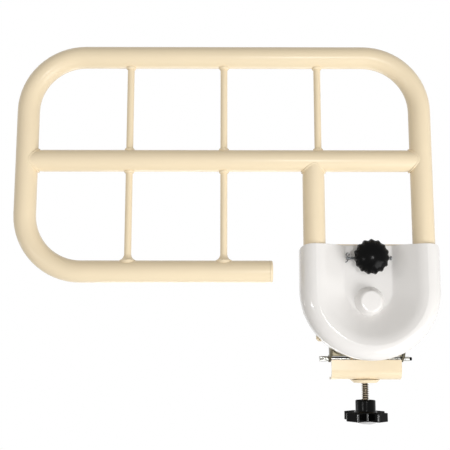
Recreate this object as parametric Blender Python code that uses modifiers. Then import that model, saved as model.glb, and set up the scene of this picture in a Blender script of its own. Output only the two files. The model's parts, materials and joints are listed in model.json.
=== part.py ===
"""Swivel bed rail: a bent steel tube rail on a pivot, a locking knob, and a clamp that hooks over a
bed's side rail.

Units are metres, +Z is up, and the front of the rail faces -Y. The origin is the middle of the rubber
face under the hook, which rests on top of the bed's side rail. Every size below is given from the
middle of the U-bend at the bottom of the rail, and at() moves it to the origin.
"""

import math

import bmesh
import bpy
from mathutils import Vector

MM = 0.001
GAP = 0.3 * MM

# Place of the U-bend's centre, seen from the origin
BEND_Y = -65 * MM
BEND_Z = 31 * MM

# Tube rail
TUBE_R = 15 * MM
TUBE_WALL = 2 * MM
ROD_R = 4.75 * MM
LEG_X = 74 * MM
LEFT_X = -467.5 * MM
ROD_PITCH = 129.75 * MM
ROD_INSET = 141 * MM
TOP_Z = 324.5 * MM
MID_Z = 176.5 * MM
LOW_Z = 24 * MM
CORNER_R = 78 * MM
FREE_END_X = -135 * MM
PLUG_FLANGE = 4 * MM
PLUG_DEPTH = 16 * MM

# Pivot and lock
PIVOT_Z = -15.5 * MM
LOCK_Z = 43 * MM
LOCK_ARC_R = LOCK_Z - PIVOT_Z
PIVOT_PLATE_Y = (15.3 * MM, 18.3 * MM)
SWIVEL_PLATE_Y = (21.6 * MM, 25.6 * MM)
PIVOT_BOLT_R = 6 * MM
STUD_R = 5 * MM
STUD_SLOT_R = 5.5 * MM
CROSS_PIN_Y = 4.2 * MM
CROSS_PIN_R = 1.9 * MM
KNOB_R = 24 * MM
KNOB_LOBES = 15
KNOB_NOTCH = 0.08

# Cover
COVER_WALL = 2.5 * MM
COVER_EDGE_R = 94 * MM
COVER_TOP_Z = 61 * MM
COVER_BACK_Y = 15 * MM
ROLL_R = 18 * MM
DISH_SLOPE = math.radians(36)
FLOOR_Y = 8 * MM
DOME_Y = -5 * MM
DOME_BASE_R = 20.5 * MM
DOME_TOP_R = 14.2 * MM
SCREW_POST_R = 46 * MM

# Clamp bracket
EAR_X = (48.5 * MM, 51.5 * MM)
WEB_Y = 37.5 * MM
HOOK_Z = -25.7 * MM
LIP_Y = 91 * MM
HOOK_SHEET = 4 * MM
HOOK_HALF_WIDTH = 48.2 * MM
PIN_Y = 48.5 * MM
PIN_Z = -92.5 * MM
PIN_R = 3 * MM
EYE_R = 4.7 * MM

# Jaw and clamp screw
JAW_Y = 41.5 * MM
JAW_TOP_Z = -93.8 * MM
JAW_FLANGE_Z = -119.4 * MM
JAW_SHEET = 3 * MM
JAW_BACK_Y = 82 * MM
JAW_HALF_WIDTH = 48.2 * MM
CLAMP_Y = 58 * MM
CLAMP_SCREW_R = 5 * MM
BOSS_TOP_R = 21 * MM
BOSS_LOW_R = 16.5 * MM
BOSS_DEPTH = 4.2 * MM
BOSS_OVAL = 0.7
PAD_R = 11 * MM
ARM_END = 30.3 * MM
ARM_HALF_WIDTH = 10.8 * MM
ARM_ROUND = 2.6 * MM
ARM_TURN = 42
ARM_Z = (-176.9 * MM, -165.3 * MM)
HUB_R = 13.9 * MM
HUB_TOP_Z = -149.2 * MM
SCREW_END_Z = -170 * MM
CAP_R = 15.5 * MM
CAP_LOW_Z = -181.9 * MM

# Rotations that turn a local Z axis, or a local XY outline, into place
AXIS = {"X": (0, math.pi / 2, 0), "Y": (-math.pi / 2, 0, 0), "Z": (0, 0, 0)}
PLANE = {
    "XZ": (math.pi / 2, 0, 0),
    "YZ": (math.pi / 2, 0, math.pi / 2),
    "XY": (0, 0, 0),
}


def at(x=0.0, y=0.0, z=0.0):
    """A point given from the middle of the U-bend, as a point from the origin."""
    return Vector((x, y + BEND_Y, z + BEND_Z))


def start_scene():
    """Clears the scene and returns the collections for the parts and for the cutting shapes."""
    for old in list(bpy.data.objects):
        bpy.data.objects.remove(old, do_unlink=True)
    found = []
    for title in ("bed_rail", "cutters"):
        collection = bpy.data.collections.new(title)
        bpy.context.scene.collection.children.link(collection)
        found.append(collection)
    found[1].hide_render = True
    return found


PARTS, CUTTERS = start_scene()


def material(name, rgb, roughness, metallic=0.0):
    made = bpy.data.materials.new(name)
    made.use_nodes = True
    made.diffuse_color = (*rgb, 1)
    shader = made.node_tree.nodes["Principled BSDF"]
    shader.inputs["Base Color"].default_value = (*rgb, 1)
    shader.inputs["Roughness"].default_value = roughness
    shader.inputs["Metallic"].default_value = metallic
    return made


CREAM = material("cream_powder_coat", (0.86, 0.73, 0.50), 0.35)
WHITE = material("white_plastic", (0.84, 0.82, 0.80), 0.25)
BLACK = material("black_plastic", (0.012, 0.012, 0.013), 0.4)
ZINC = material("zinc_plate", (0.62, 0.63, 0.65), 0.3, 1.0)
YELLOW_ZINC = material("yellow_zinc", (0.34, 0.29, 0.22), 0.4, 1.0)
RUBBER = material("black_rubber", (0.03, 0.03, 0.03), 0.85)
NYLON = material("natural_nylon", (0.75, 0.73, 0.68), 0.5)
BRASS = material("brass", (0.75, 0.55, 0.22), 0.35, 1.0)
GREY_CAP = material("grey_plastic", (0.45, 0.45, 0.46), 0.4)


def joint_empty(name, place):
    """An empty on a joint's axis, which the moving pieces are parented to."""
    empty = bpy.data.objects.new(name, None)
    empty.location = place
    empty.empty_display_size = 0.03
    PARTS.objects.link(empty)
    return empty


BRACKET = joint_empty("bracket_axis", at())
RAIL = joint_empty("rail_axis", at(z=PIVOT_Z))
LOCK = joint_empty("lock_axis", at(z=LOCK_Z))
JAW = joint_empty("jaw_axis", at(y=PIN_Y, z=PIN_Z))
CLAMP = joint_empty("clamp_axis", at(y=CLAMP_Y))
LOCK.parent = RAIL
LOCK.location = at(z=LOCK_Z) - at(z=PIVOT_Z)
CLAMP.parent = JAW
CLAMP.location = at(y=CLAMP_Y) - at(y=PIN_Y, z=PIN_Z)
bpy.context.view_layer.update()


def add(name, data, place, turn=(0, 0, 0)):
    """Links a new object at a place, in the cutters' collection until finish() claims it."""
    obj = bpy.data.objects.new(name, data)
    obj.location = place
    obj.rotation_euler = turn
    CUTTERS.objects.link(obj)
    obj.display_type = "WIRE"
    obj.hide_render = True
    return obj


def finish(obj, look, axis):
    """Makes an object one of the parts: gives it its material and hangs it on its joint's axis."""
    CUTTERS.objects.unlink(obj)
    PARTS.objects.link(obj)
    obj.display_type = "TEXTURED"
    obj.hide_render = False
    obj.data.materials.clear()
    obj.data.materials.append(look)
    obj.data.shade_smooth()
    obj.data.set_sharp_from_angle(angle=math.radians(32))
    bpy.context.view_layer.update()
    obj.parent = axis
    obj.matrix_parent_inverse = axis.matrix_world.inverted()
    return obj


def apply_shape(obj):
    """Turns a curve into a mesh with welded caps, at the same place and under the same name."""
    name = obj.name
    bpy.context.view_layer.update()
    graph = bpy.context.evaluated_depsgraph_get()
    mesh = bpy.data.meshes.new_from_object(obj.evaluated_get(graph))
    work = bmesh.new()
    work.from_mesh(mesh)
    bmesh.ops.remove_doubles(work, verts=work.verts, dist=1e-6)
    bmesh.ops.recalc_face_normals(work, faces=work.faces)
    work.to_mesh(mesh)
    work.free()
    place, turn = obj.location.copy(), obj.rotation_euler.copy()
    curve = obj.data
    bpy.data.objects.remove(obj, do_unlink=True)
    bpy.data.curves.remove(curve)
    return add(name, mesh, place, turn)


def arc(x, y, radius, start, stop, steps):
    """Points from one angle to another, in degrees, both ends included."""
    angles = [math.radians(start + (stop - start) * i / steps) for i in range(steps + 1)]
    return [(x + radius * math.cos(a), y + radius * math.sin(a)) for a in angles]


def circle(x, y, radius, steps=20):
    return arc(x, y, radius, 0, 360, steps)[:-1]


def filleted(points, radii, steps=10):
    """A line through the points with each corner rounded to its radius."""
    points = [Vector(point) for point in points]
    path = [points[0]]
    for before, corner, after, radius in zip(points, points[1:-1], points[2:], radii):
        incoming = (corner - before).normalized()
        outgoing = (after - corner).normalized()
        turn = incoming.angle(outgoing)
        reach = radius * math.tan(turn / 2)
        centre = corner + (outgoing - incoming).normalized() * radius / math.cos(turn / 2)
        spoke = corner - incoming * reach - centre
        for step in range(steps + 1):
            share = turn * step / steps
            point = centre + spoke * math.cos(share) + incoming * radius * math.sin(share)
            if (point - path[-1]).length > 1e-6:
                path.append(point)
    path.append(points[-1])
    return path


def polygon_curve(name, outlines, place, turn, half_thickness):
    """A flat filled curve with thickness. The first outline is the edge and the rest are holes."""
    curve = bpy.data.curves.new(name, "CURVE")
    curve.dimensions = "2D"
    curve.fill_mode = "BOTH"
    curve.extrude = half_thickness
    for outline in outlines:
        spline = curve.splines.new("POLY")
        spline.points.add(len(outline) - 1)
        for point, (x, y) in zip(spline.points, outline):
            point.co = (x, y, 0, 1)
        spline.use_cyclic_u = True
    return apply_shape(add(name, curve, place, turn))


def plate(name, plane, outlines, low, high, offset=(0, 0, 0)):
    """A flat plate in a plane, from low to high along the third axis."""
    middle = (low + high) / 2
    place = {"XZ": (0, middle, 0), "YZ": (middle, 0, 0), "XY": (0, 0, middle)}[plane]
    place = at(*(Vector(place) + Vector(offset)))
    return polygon_curve(name, outlines, place, PLANE[plane], (high - low) / 2)


def turned(name, profile, place, axis, steps=24, closed=False):
    """A turned shape: its profile of (radius, height) runs down the outer side."""
    mesh = bpy.data.meshes.new(name)
    edges = [(i, i + 1) for i in range(len(profile) - 1)]
    if closed:
        edges.append((len(profile) - 1, 0))
    mesh.from_pydata([(radius, 0, height) for radius, height in profile], edges, [])
    obj = add(name, mesh, place, AXIS[axis])
    screw = obj.modifiers.new("turn", "SCREW")
    screw.steps = steps
    screw.render_steps = steps
    screw.use_merge_vertices = True
    screw.merge_threshold = 0.00002
    return obj


def disc(radius, low, high):
    return [(0, high), (radius, high), (radius, low), (0, low)]


def cylinder(name, radius, low, high, place, axis, steps=24):
    return turned(name, disc(radius, low, high), place, axis, steps)


def ring(name, inner, outer, low, high, place, axis, steps=24):
    profile = [(outer, high), (outer, low), (inner, low), (inner, high)]
    return turned(name, profile, place, axis, steps, closed=True)


def box(name, low, high):
    """A box between two corners, given from the middle of the U-bend."""
    work = bmesh.new()
    bmesh.ops.create_cube(work, size=1)
    size = Vector(high) - Vector(low)
    bmesh.ops.scale(work, vec=size, verts=work.verts)
    mesh = bpy.data.meshes.new(name)
    work.to_mesh(mesh)
    work.free()
    return add(name, mesh, at(*((Vector(low) + Vector(high)) / 2)))


def tube(name, points, radius, sides):
    """A solid round bar along the points."""
    curve = bpy.data.curves.new(name, "CURVE")
    curve.dimensions = "3D"
    curve.bevel_depth = radius
    curve.bevel_resolution = (sides - 4) // 2
    curve.use_fill_caps = True
    spline = curve.splines.new("POLY")
    spline.points.add(len(points) - 1)
    for point, place in zip(spline.points, points):
        point.co = (*place, 1)
    return apply_shape(add(name, curve, at()))


def bent_sheet(name, path, radii, half_width, thickness):
    """A sheet bent along a path of (y, z) points, which is its middle surface."""
    path = filleted(path, radii, 5)
    work = bmesh.new()
    rows = []
    for y, z in path:
        rows.append([work.verts.new((side * half_width, y, z)) for side in (-1, 1)])
    for first, second in zip(rows, rows[1:]):
        work.faces.new((first[0], first[1], second[1], second[0]))
    mesh = bpy.data.meshes.new(name)
    work.to_mesh(mesh)
    work.free()
    obj = add(name, mesh, at())
    solid = obj.modifiers.new("thickness", "SOLIDIFY")
    solid.thickness = thickness
    solid.offset = 0
    solid.use_even_offset = True
    return obj


def combine(obj, other, operation="DIFFERENCE"):
    modifier = obj.modifiers.new(operation.lower(), "BOOLEAN")
    modifier.operation = operation
    modifier.solver = "EXACT"
    modifier.object = other
    return obj


def cross_section(x, z, radius, axis, name="cope"):
    """A long cutter that leaves a gap round a tube lying along an axis."""
    length = 40 * MM
    return cylinder(name, radius + GAP, -length, length, at(x, 0, z), axis, 32)


def make_outer_tube():
    """The bent tube, hollow, from its free end round the frame to the top of the left leg."""
    corners = [
        (FREE_END_X, LOW_Z),
        (LEFT_X, LOW_Z),
        (LEFT_X, TOP_Z),
        (LEG_X, TOP_Z),
        (LEG_X, -LEG_X),
        (-LEG_X, -LEG_X),
        (-LEG_X, MID_Z),
    ]
    radii = [CORNER_R, CORNER_R, CORNER_R, LEG_X, LEG_X]
    outline = [(x, 0, z) for x, z in filleted(corners, radii)]
    overrun = 6 * MM
    corners[0] = (FREE_END_X + overrun, LOW_Z)
    corners[-1] = (-LEG_X, MID_Z + overrun)
    hollow = [(x, 0, z) for x, z in filleted(corners, radii)]
    outer = tube("outer_tube", outline, TUBE_R, 16)
    combine(outer, tube("outer_tube_bore", hollow, TUBE_R - TUBE_WALL, 16))
    combine(outer, cross_section(-LEG_X, MID_Z, TUBE_R, "X", "leg_cope"))
    finish(outer, CREAM, RAIL)
    flange = (FREE_END_X + GAP, FREE_END_X + PLUG_FLANGE)
    plug_r = TUBE_R - TUBE_WALL - GAP * 2
    profile = [
        (0, flange[1]),
        (TUBE_R - 2 * MM, flange[1]),
        (TUBE_R, flange[1] - 1.5 * MM),
        (TUBE_R, flange[0]),
        (plug_r, flange[0]),
        (plug_r, FREE_END_X - PLUG_DEPTH),
        (0, FREE_END_X - PLUG_DEPTH),
    ]
    finish(turned("end_plug", profile, at(0, 0, LOW_Z), "X"), CREAM, RAIL)


def make_mid_tube():
    length = LEG_X - LEFT_X
    middle = at((LEG_X + LEFT_X) / 2, 0, MID_Z)
    mid = cylinder("mid_tube", TUBE_R, -length / 2, length / 2, middle, "X", 20)
    combine(mid, cylinder("mid_bore", TUBE_R - TUBE_WALL, -length, length, middle, "X", 20))
    for x in (LEFT_X, LEG_X):
        combine(mid, cross_section(x, MID_Z, TUBE_R, "Z", "mid_cope"))
    finish(mid, CREAM, RAIL)


def make_rods():
    """The thin uprights. Their ends stop a gap short of the tubes that they are welded to."""
    first = LEFT_X + ROD_INSET
    spans = {
        "upper_rod_left": (first, MID_Z, TOP_Z),
        "upper_rod_middle": (first + ROD_PITCH, MID_Z, TOP_Z),
        "upper_rod_right": (first + 2 * ROD_PITCH, MID_Z, TOP_Z),
        "lower_rod_left": (first, LOW_Z, MID_Z),
        "lower_rod_right": (first + ROD_PITCH, LOW_Z, MID_Z),
    }
    for name, (x, low, high) in spans.items():
        rod = cylinder(name, ROD_R, low, high, at(x, 0, 0), "Z", 12)
        for z in (low, high):
            combine(rod, cross_section(x, z, TUBE_R, "X", "rod_cope"))
        finish(rod, CREAM, RAIL)


def post_places():
    """Where the cover's four screws go, seen from the front."""
    high = (SCREW_POST_R, 40 * MM)
    low_angle = math.radians(-55)
    low = (SCREW_POST_R * math.cos(low_angle), SCREW_POST_R * math.sin(low_angle))
    return [(-high[0], high[1]), high, (-low[0], low[1]), low]


def make_pivot_plate():
    """The plate behind the U-bend, with its bush, and the sleeve that the lock knob bears on."""
    half = 86 * MM
    outline = [(half, 55 * MM), (-half, 55 * MM)] + arc(0, 0, half, 180, 360, 18)
    holes = [circle(0, PIVOT_Z, 9.3 * MM), circle(0, LOCK_Z, STUD_R + GAP)]
    holes += [circle(x, z, 2 * MM, 10) for x, z in post_places()]
    finish(plate("pivot_plate", "XZ", [outline] + holes, *PIVOT_PLATE_Y), CREAM, RAIL)
    front, back = PIVOT_PLATE_Y[0] - GAP, PIVOT_PLATE_Y[1]
    profile = [
        (9 * MM, back),
        (9 * MM, front),
        (13 * MM, front),
        (13 * MM, front - 2 * MM),
        (PIVOT_BOLT_R + GAP, front - 2 * MM),
        (PIVOT_BOLT_R + GAP, back),
    ]
    bush = turned("pivot_bush", profile, at(z=PIVOT_Z), "Y", closed=True)
    finish(bush, NYLON, RAIL)
    sleeve_front = 2 * MM
    place = at(z=LOCK_Z)
    sleeve = ring("lock_sleeve", STUD_R + GAP, 9 * MM, sleeve_front, front, place, "Y")
    slot = CROSS_PIN_R + 2 * GAP
    corner = Vector((12 * MM, CROSS_PIN_Y + slot, LOCK_Z + slot))
    combine(sleeve, box("sleeve_slot", (-corner.x, 0, LOCK_Z - slot), corner))
    finish(sleeve, ZINC, RAIL)


def make_lock_stud():
    """The stud through the curved slot, and the cross pin that keeps it from turning."""
    head = SWIVEL_PLATE_Y[1] + GAP
    profile = [
        (0, head + 5 * MM),
        (9 * MM, head + 5 * MM),
        (10 * MM, head + 4 * MM),
        (10 * MM, head),
        (STUD_R, head),
        (STUD_R, -17 * MM),
        (0, -17 * MM),
    ]
    stud = turned("lock_stud", profile, at(z=LOCK_Z), "Y", 20)
    eye = cylinder("stud_eye", CROSS_PIN_R + GAP, -9 * MM, 9 * MM, at(0, CROSS_PIN_Y, LOCK_Z), "X", 12)
    finish(combine(stud, eye), ZINC, RAIL)
    left, right, head_x = -31.2 * MM, 31 * MM, 29.2 * MM
    profile = [
        (0, right),
        (2.6 * MM, right),
        (3 * MM, right - 0.5 * MM),
        (3 * MM, head_x),
        (CROSS_PIN_R, head_x),
        (CROSS_PIN_R, left + 0.5 * MM),
        (CROSS_PIN_R - 0.5 * MM, left),
        (0, left),
    ]
    pin = turned("cross_pin", profile, at(0, CROSS_PIN_Y, LOCK_Z), "X", 12)
    split_x = -28.4 * MM
    hole = cylinder("split_hole", 1.05 * MM, -4 * MM, 4 * MM, at(split_x, CROSS_PIN_Y, LOCK_Z), "Z", 10)
    finish(combine(pin, hole), ZINC, RAIL)
    eye_z = LOCK_Z + 4.8 * MM
    wire = arc(split_x, eye_z, 2.1 * MM, -50, 235, 8)
    wire += [(split_x, LOCK_Z + 1.6 * MM), (split_x, LOCK_Z - 2.6 * MM)]
    wire += [(split_x - 1.2 * MM, LOCK_Z - 4.2 * MM), (split_x - 3.6 * MM, LOCK_Z - 6 * MM)]
    points = [(x, CROSS_PIN_Y, z) for x, z in wire]
    finish(tube("split_pin", points, 0.7 * MM, 6), ZINC, RAIL)


def cover_profile():
    """The cover's outer skin from its back edge to the dish's floor, as (radius, y, top drop).

    The skin rolls over the tube and then runs down the dish as the roll's tangent.
    """
    bulge = COVER_EDGE_R - LEG_X
    profile = [(COVER_EDGE_R, COVER_BACK_Y, 6 * MM)]
    for degrees, drop in ((0, 6), (22.5, 4), (45, 1.2), (67.5, 0.3), (90, 0)):
        angle = math.radians(degrees)
        point = (LEG_X + bulge * math.cos(angle), -ROLL_R * math.sin(angle), drop * MM)
        profile.append(point)
    for share in (0.5, 1):
        angle = DISH_SLOPE * share
        profile.append((LEG_X - ROLL_R * math.sin(angle), -ROLL_R * math.cos(angle), 0))
    radius, y, _ = profile[-1]
    run = (FLOOR_Y - y) / math.tan(DISH_SLOPE)
    fillet = 4 * MM
    profile.append((radius - run + fillet, FLOOR_Y - fillet * math.tan(DISH_SLOPE), 0))
    profile.append((radius - run - fillet, FLOOR_Y, 0))
    return profile


def make_cover():
    """The bowl-shaped cover: a skin swept round the U, with thickness, dome, hole and screw posts."""
    work = bmesh.new()
    rows = []
    for radius, y, drop in cover_profile():
        top = COVER_TOP_Z - drop
        path = [(radius, top), (radius, top / 2)]
        path += arc(0, 0, radius, 0, -180, 22) + [(-radius, top / 2), (-radius, top)]
        rows.append([work.verts.new((x, y, z)) for x, z in path])
    for outer, inner in zip(rows, rows[1:]):
        for i in range(len(outer) - 1):
            work.faces.new((outer[i], inner[i], inner[i + 1], outer[i + 1]))
    work.faces.new(rows[-1])
    bmesh.ops.recalc_face_normals(work, faces=work.faces)
    front = min(work.faces, key=lambda face: face.calc_center_median().y)
    if front.normal.y > 0:
        bmesh.ops.reverse_faces(work, faces=work.faces)
    mesh = bpy.data.meshes.new("front_cover")
    work.to_mesh(mesh)
    work.free()
    cover = add("front_cover", mesh, at())
    solid = cover.modifiers.new("wall", "SOLIDIFY")
    solid.thickness = COVER_WALL
    solid.offset = -1
    solid.use_even_offset = True
    pivot = at(z=PIVOT_Z)
    dome = [(0, DOME_Y), (DOME_TOP_R, DOME_Y), (DOME_BASE_R, FLOOR_Y + 1 * MM), (0, FLOOR_Y + 1 * MM)]
    combine(cover, turned("dome", dome[::-1], pivot, "Y"), "UNION")
    back_plane = PIVOT_PLATE_Y[0] - GAP
    for x, z in post_places():
        post = cylinder("cover_post", 4 * MM, 0, back_plane, at(x, 0, z), "Y", 14)
        combine(cover, post, "UNION")
        pilot = cylinder("post_bore", 1.8 * MM, 5 * MM, back_plane + 2 * MM, at(x, 0, z), "Y", 10)
        combine(cover, pilot)
    inner_top = DOME_TOP_R - COVER_WALL
    inner_base = DOME_BASE_R - COVER_WALL
    hollow = [(0, FLOOR_Y + 5 * MM), (inner_base, FLOOR_Y + 5 * MM)]
    hollow += [(inner_base, FLOOR_Y), (inner_top, DOME_Y + COVER_WALL), (0, DOME_Y + COVER_WALL)]
    combine(cover, turned("dome_hollow", hollow, pivot, "Y"))
    combine(cover, cylinder("lock_hole", 9.4 * MM, 0, 14 * MM, at(z=LOCK_Z), "Y"))
    finish(cover, WHITE, RAIL)
    head = PIVOT_PLATE_Y[1] + GAP
    for number, (x, z) in enumerate(post_places(), 1):
        profile = [
            (0, head + 2.1 * MM),
            (2.6 * MM, head + 2.1 * MM),
            (3.5 * MM, head + 1.2 * MM),
            (3.5 * MM, head),
            (1.5 * MM, head),
            (1.5 * MM, 6 * MM),
            (0, 6 * MM),
        ]
        screw = turned(f"cover_screw_{number}", profile, at(x, 0, z), "Y", 10)
        finish(screw, ZINC, RAIL)


def make_lock_knob():
    """The washer, the scalloped knob and its threaded bush. All three leave room for the stud."""
    place = at(z=LOCK_Z)
    finish(ring("knob_washer", 5.4 * MM, 9.5 * MM, 0.2 * MM, 1.7 * MM, place, "Y"), ZINC, LOCK)
    rear, front, depth = -0.1 * MM, -31 * MM, 17.5 * MM
    middle_y = -14 * MM
    work = bmesh.new()
    bmesh.ops.create_uvsphere(work, u_segments=KNOB_LOBES * 4, v_segments=9, radius=1)
    for vert in work.verts:
        angle = math.atan2(vert.co.y, vert.co.x) + math.pi / 2
        girth = math.hypot(vert.co.x, vert.co.y)
        notch = KNOB_NOTCH * (1 - math.cos(KNOB_LOBES * angle)) / 2 * girth**4
        vert.co.x *= KNOB_R * (1 - notch)
        vert.co.y *= KNOB_R * (1 - notch)
        vert.co.z *= middle_y - front
    mesh = bpy.data.meshes.new("lock_knob")
    work.to_mesh(mesh)
    work.free()
    knob = add("lock_knob", mesh, at(0, middle_y, LOCK_Z), AXIS["Y"])
    bore = [(0, 20 * MM), (40 * MM, 20 * MM), (40 * MM, rear), (8.3 * MM, rear)]
    bore += [(8.3 * MM, -depth), (0, -depth)]
    finish(combine(knob, turned("knob_bore", bore, place, "Y")), BLACK, LOCK)
    insert = ring("knob_insert", STUD_R + GAP, 8 * MM, GAP - depth, rear - GAP, place, "Y")
    finish(insert, BRASS, LOCK)


def arc_slot():
    """The curved slot that the stud runs along, from the top clockwise to the bottom."""
    wide, narrow = LOCK_ARC_R + STUD_SLOT_R, LOCK_ARC_R - STUD_SLOT_R
    outline = arc(0, PIVOT_Z, wide, 90, -90, 20)
    outline += arc(0, PIVOT_Z - LOCK_ARC_R, STUD_SLOT_R, 270, 90, 6)[1:-1]
    outline += arc(0, PIVOT_Z, narrow, -90, 90, 20)
    outline += arc(0, PIVOT_Z + LOCK_ARC_R, STUD_SLOT_R, 270, 90, 6)[1:-1]
    return outline


def make_swivel_plate():
    """The fixed plate behind the rail, and the bolt that the rail turns on."""
    right = [(80, 64), (88, 56), (88, -31), (71, -57), (71, -65.8), (68.2, -68.6), (58, -68.6)]
    right += [(53, -77.4), (43, -82.5)]
    outline = [(x * MM, z * MM) for x, z in right]
    outline += [(-x, z) for x, z in reversed(outline)]
    holes = [circle(0, PIVOT_Z, PIVOT_BOLT_R + GAP), arc_slot()]
    finish(plate("swivel_plate", "XZ", [outline] + holes, *SWIVEL_PLATE_Y), CREAM, BRACKET)
    place = at(z=PIVOT_Z)
    gap_y = (PIVOT_PLATE_Y[1] + GAP, SWIVEL_PLATE_Y[0] - GAP)
    washer = ring("swivel_washer", PIVOT_BOLT_R + GAP, 25 * MM, *gap_y, place, "Y", 28)
    finish(washer, NYLON, BRACKET)
    head = SWIVEL_PLATE_Y[1] + GAP
    bolt = cylinder("pivot_bolt", 10.97 * MM, head, head + 7.5 * MM, place, "Y", 6)
    shank = cylinder("pivot_shank", PIVOT_BOLT_R, -1 * MM, head + 2 * MM, place, "Y", 20)
    finish(combine(bolt, shank, "UNION"), ZINC, BRACKET)
    washer = ring("pivot_washer", PIVOT_BOLT_R + GAP, 14 * MM, 10.7 * MM, 12.7 * MM, place, "Y")
    finish(washer, ZINC, BRACKET)
    nut = cylinder("pivot_nut", 10.97 * MM, 0.4 * MM, 10.4 * MM, place, "Y", 6)
    bore = cylinder("nut_bore", PIVOT_BOLT_R + GAP, -3 * MM, 14 * MM, place, "Y", 20)
    finish(combine(nut, bore), ZINC, BRACKET)


def ear_outline():
    """A side plate seen from the side: welded at its two front feet, with an eye for the pin."""
    front, relief, back = SWIVEL_PLATE_Y[1] + GAP, 31.6 * MM, 42.5 * MM
    under_hook = -27.7 * MM
    outline = [(front, -78 * MM), (front, -66 * MM), (relief, -66 * MM), (relief, 35 * MM)]
    outline += [(front, 35 * MM), (front, 48 * MM), (35 * MM, 48 * MM), (back, 32 * MM)]
    outline += [(back, -4 * MM), (78 * MM, -20 * MM), (78 * MM, under_hook), (back, under_hook)]
    outline += [(back, -86.5 * MM)]
    outline += arc(PIN_Y, PIN_Z, EYE_R, 60, -150, 12)
    outline += [(34 * MM, -89.5 * MM)]
    return outline


def make_bracket():
    """The ears, the bent hook sheet, its rubber pads and the hinge pin."""
    hole = circle(PIN_Y, PIN_Z, PIN_R + GAP, 14)
    for side, name in ((-1, "left_ear"), (1, "right_ear")):
        low, high = sorted((side * EAR_X[0], side * EAR_X[1]))
        finish(plate(name, "YZ", [ear_outline(), hole], low, high), YELLOW_ZINC, BRACKET)
    path = [(WEB_Y, -89 * MM), (WEB_Y, HOOK_Z), (LIP_Y, HOOK_Z), (LIP_Y, -50 * MM)]
    bend = 6 * MM
    hook = bent_sheet("hook_bracket", path, [bend, bend], HOOK_HALF_WIDTH, HOOK_SHEET)
    finish(hook, YELLOW_ZINC, BRACKET)
    half = 44 * MM
    pad = 3 * MM
    under = HOOK_Z - HOOK_SHEET / 2 - GAP
    behind = WEB_Y + HOOK_SHEET / 2 + GAP
    hook_pad = box("hook_pad", (-half, 44.7 * MM, under - pad), (half, 85.3 * MM, under))
    finish(hook_pad, RUBBER, BRACKET)
    web_pad = box("web_pad", (-half, behind, -82 * MM), (half, behind + pad, -34 * MM))
    finish(web_pad, RUBBER, BRACKET)
    head, shaft_end = -52 * MM, 60.5 * MM
    head_r, head_end = 3.6 * MM, -64 * MM
    profile = [
        (0, shaft_end),
        (PIN_R, shaft_end),
        (PIN_R, head),
        (head_r, head),
        (head_r, head_end + 0.6 * MM),
        (head_r - 0.6 * MM, head_end),
        (0, head_end),
    ]
    pin_place = at(0, PIN_Y, PIN_Z)
    finish(turned("hinge_pin", profile, pin_place, "X", 16), ZINC, BRACKET)
    cap = [(0, 64 * MM), (1.8 * MM, 64 * MM), (2.4 * MM, 63.4 * MM)]
    cap += [(2.4 * MM, shaft_end + GAP), (0, shaft_end + GAP)]
    finish(turned("pin_cap", cap, pin_place, "X", 16), BLACK, BRACKET)


def make_jaw():
    """The bent jaw plate with its lugs behind and its threaded boss below."""
    path = [(JAW_Y, JAW_TOP_Z), (JAW_Y, JAW_FLANGE_Z), (JAW_BACK_Y, JAW_FLANGE_Z)]
    jaw = bent_sheet("jaw_plate", path, [12 * MM], JAW_HALF_WIDTH, JAW_SHEET)
    screw_place = at(0, CLAMP_Y, 0)
    bore_z = (JAW_FLANGE_Z - 10 * MM, JAW_FLANGE_Z + 10 * MM)
    combine(jaw, cylinder("jaw_bore", 5.4 * MM, *bore_z, screw_place, "Z", 20))
    for side in (-1, 1):
        corner = [(side * 30, 84), (side * 50, 64), (side * 60, 90)]
        outline = [(x * MM, y * MM) for x, y in corner]
        combine(jaw, plate("jaw_corner", "XY", [outline], *bore_z))
    finish(jaw, CREAM, JAW)
    back = JAW_Y + JAW_SHEET / 2 + GAP
    lug = [(back, -106 * MM), (back, -95 * MM)] + arc(PIN_Y, PIN_Z, EYE_R, 190, -20, 12)
    lug += [(51 * MM, -106 * MM)]
    hole = circle(PIN_Y, PIN_Z, PIN_R + GAP, 14)
    for side, name in ((-1, "jaw_lug_left"), (1, "jaw_lug_right")):
        low, high = sorted((side * 18 * MM, side * 22 * MM))
        finish(plate(name, "YZ", [lug, hole], low, high), CREAM, JAW)
    under = JAW_FLANGE_Z - JAW_SHEET / 2 - GAP
    bore_r = CLAMP_SCREW_R + GAP
    profile = [(0, under), (BOSS_TOP_R, under), (BOSS_LOW_R, under - BOSS_DEPTH), (0, under - BOSS_DEPTH)]
    boss = turned("jaw_boss", profile, screw_place, "Z", 28)
    boss.scale.y = BOSS_OVAL
    combine(boss, cylinder("boss_bore", bore_r, -130 * MM, -115 * MM, screw_place, "Z", 20))
    finish(boss, CREAM, JAW)


def cross_outline():
    """Four blunt arms with rounded corners and rounded valleys, two of the arms to the front."""
    low, valley, tip = ARM_HALF_WIDTH, ARM_HALF_WIDTH + ARM_ROUND, ARM_END - ARM_ROUND
    arm = arc(valley, -valley, ARM_ROUND, 180, 90, 3)
    arm += arc(tip, ARM_ROUND - low, ARM_ROUND, -90, 0, 3)
    arm += arc(tip, low - ARM_ROUND, ARM_ROUND, 0, 90, 3)
    outline = []
    for quarter in range(4):
        turn = math.radians(ARM_TURN + 90 * quarter)
        cos, sin = math.cos(turn), math.sin(turn)
        outline += [(x * cos - y * sin, x * sin + y * cos) for x, y in arm]
    return outline


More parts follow.
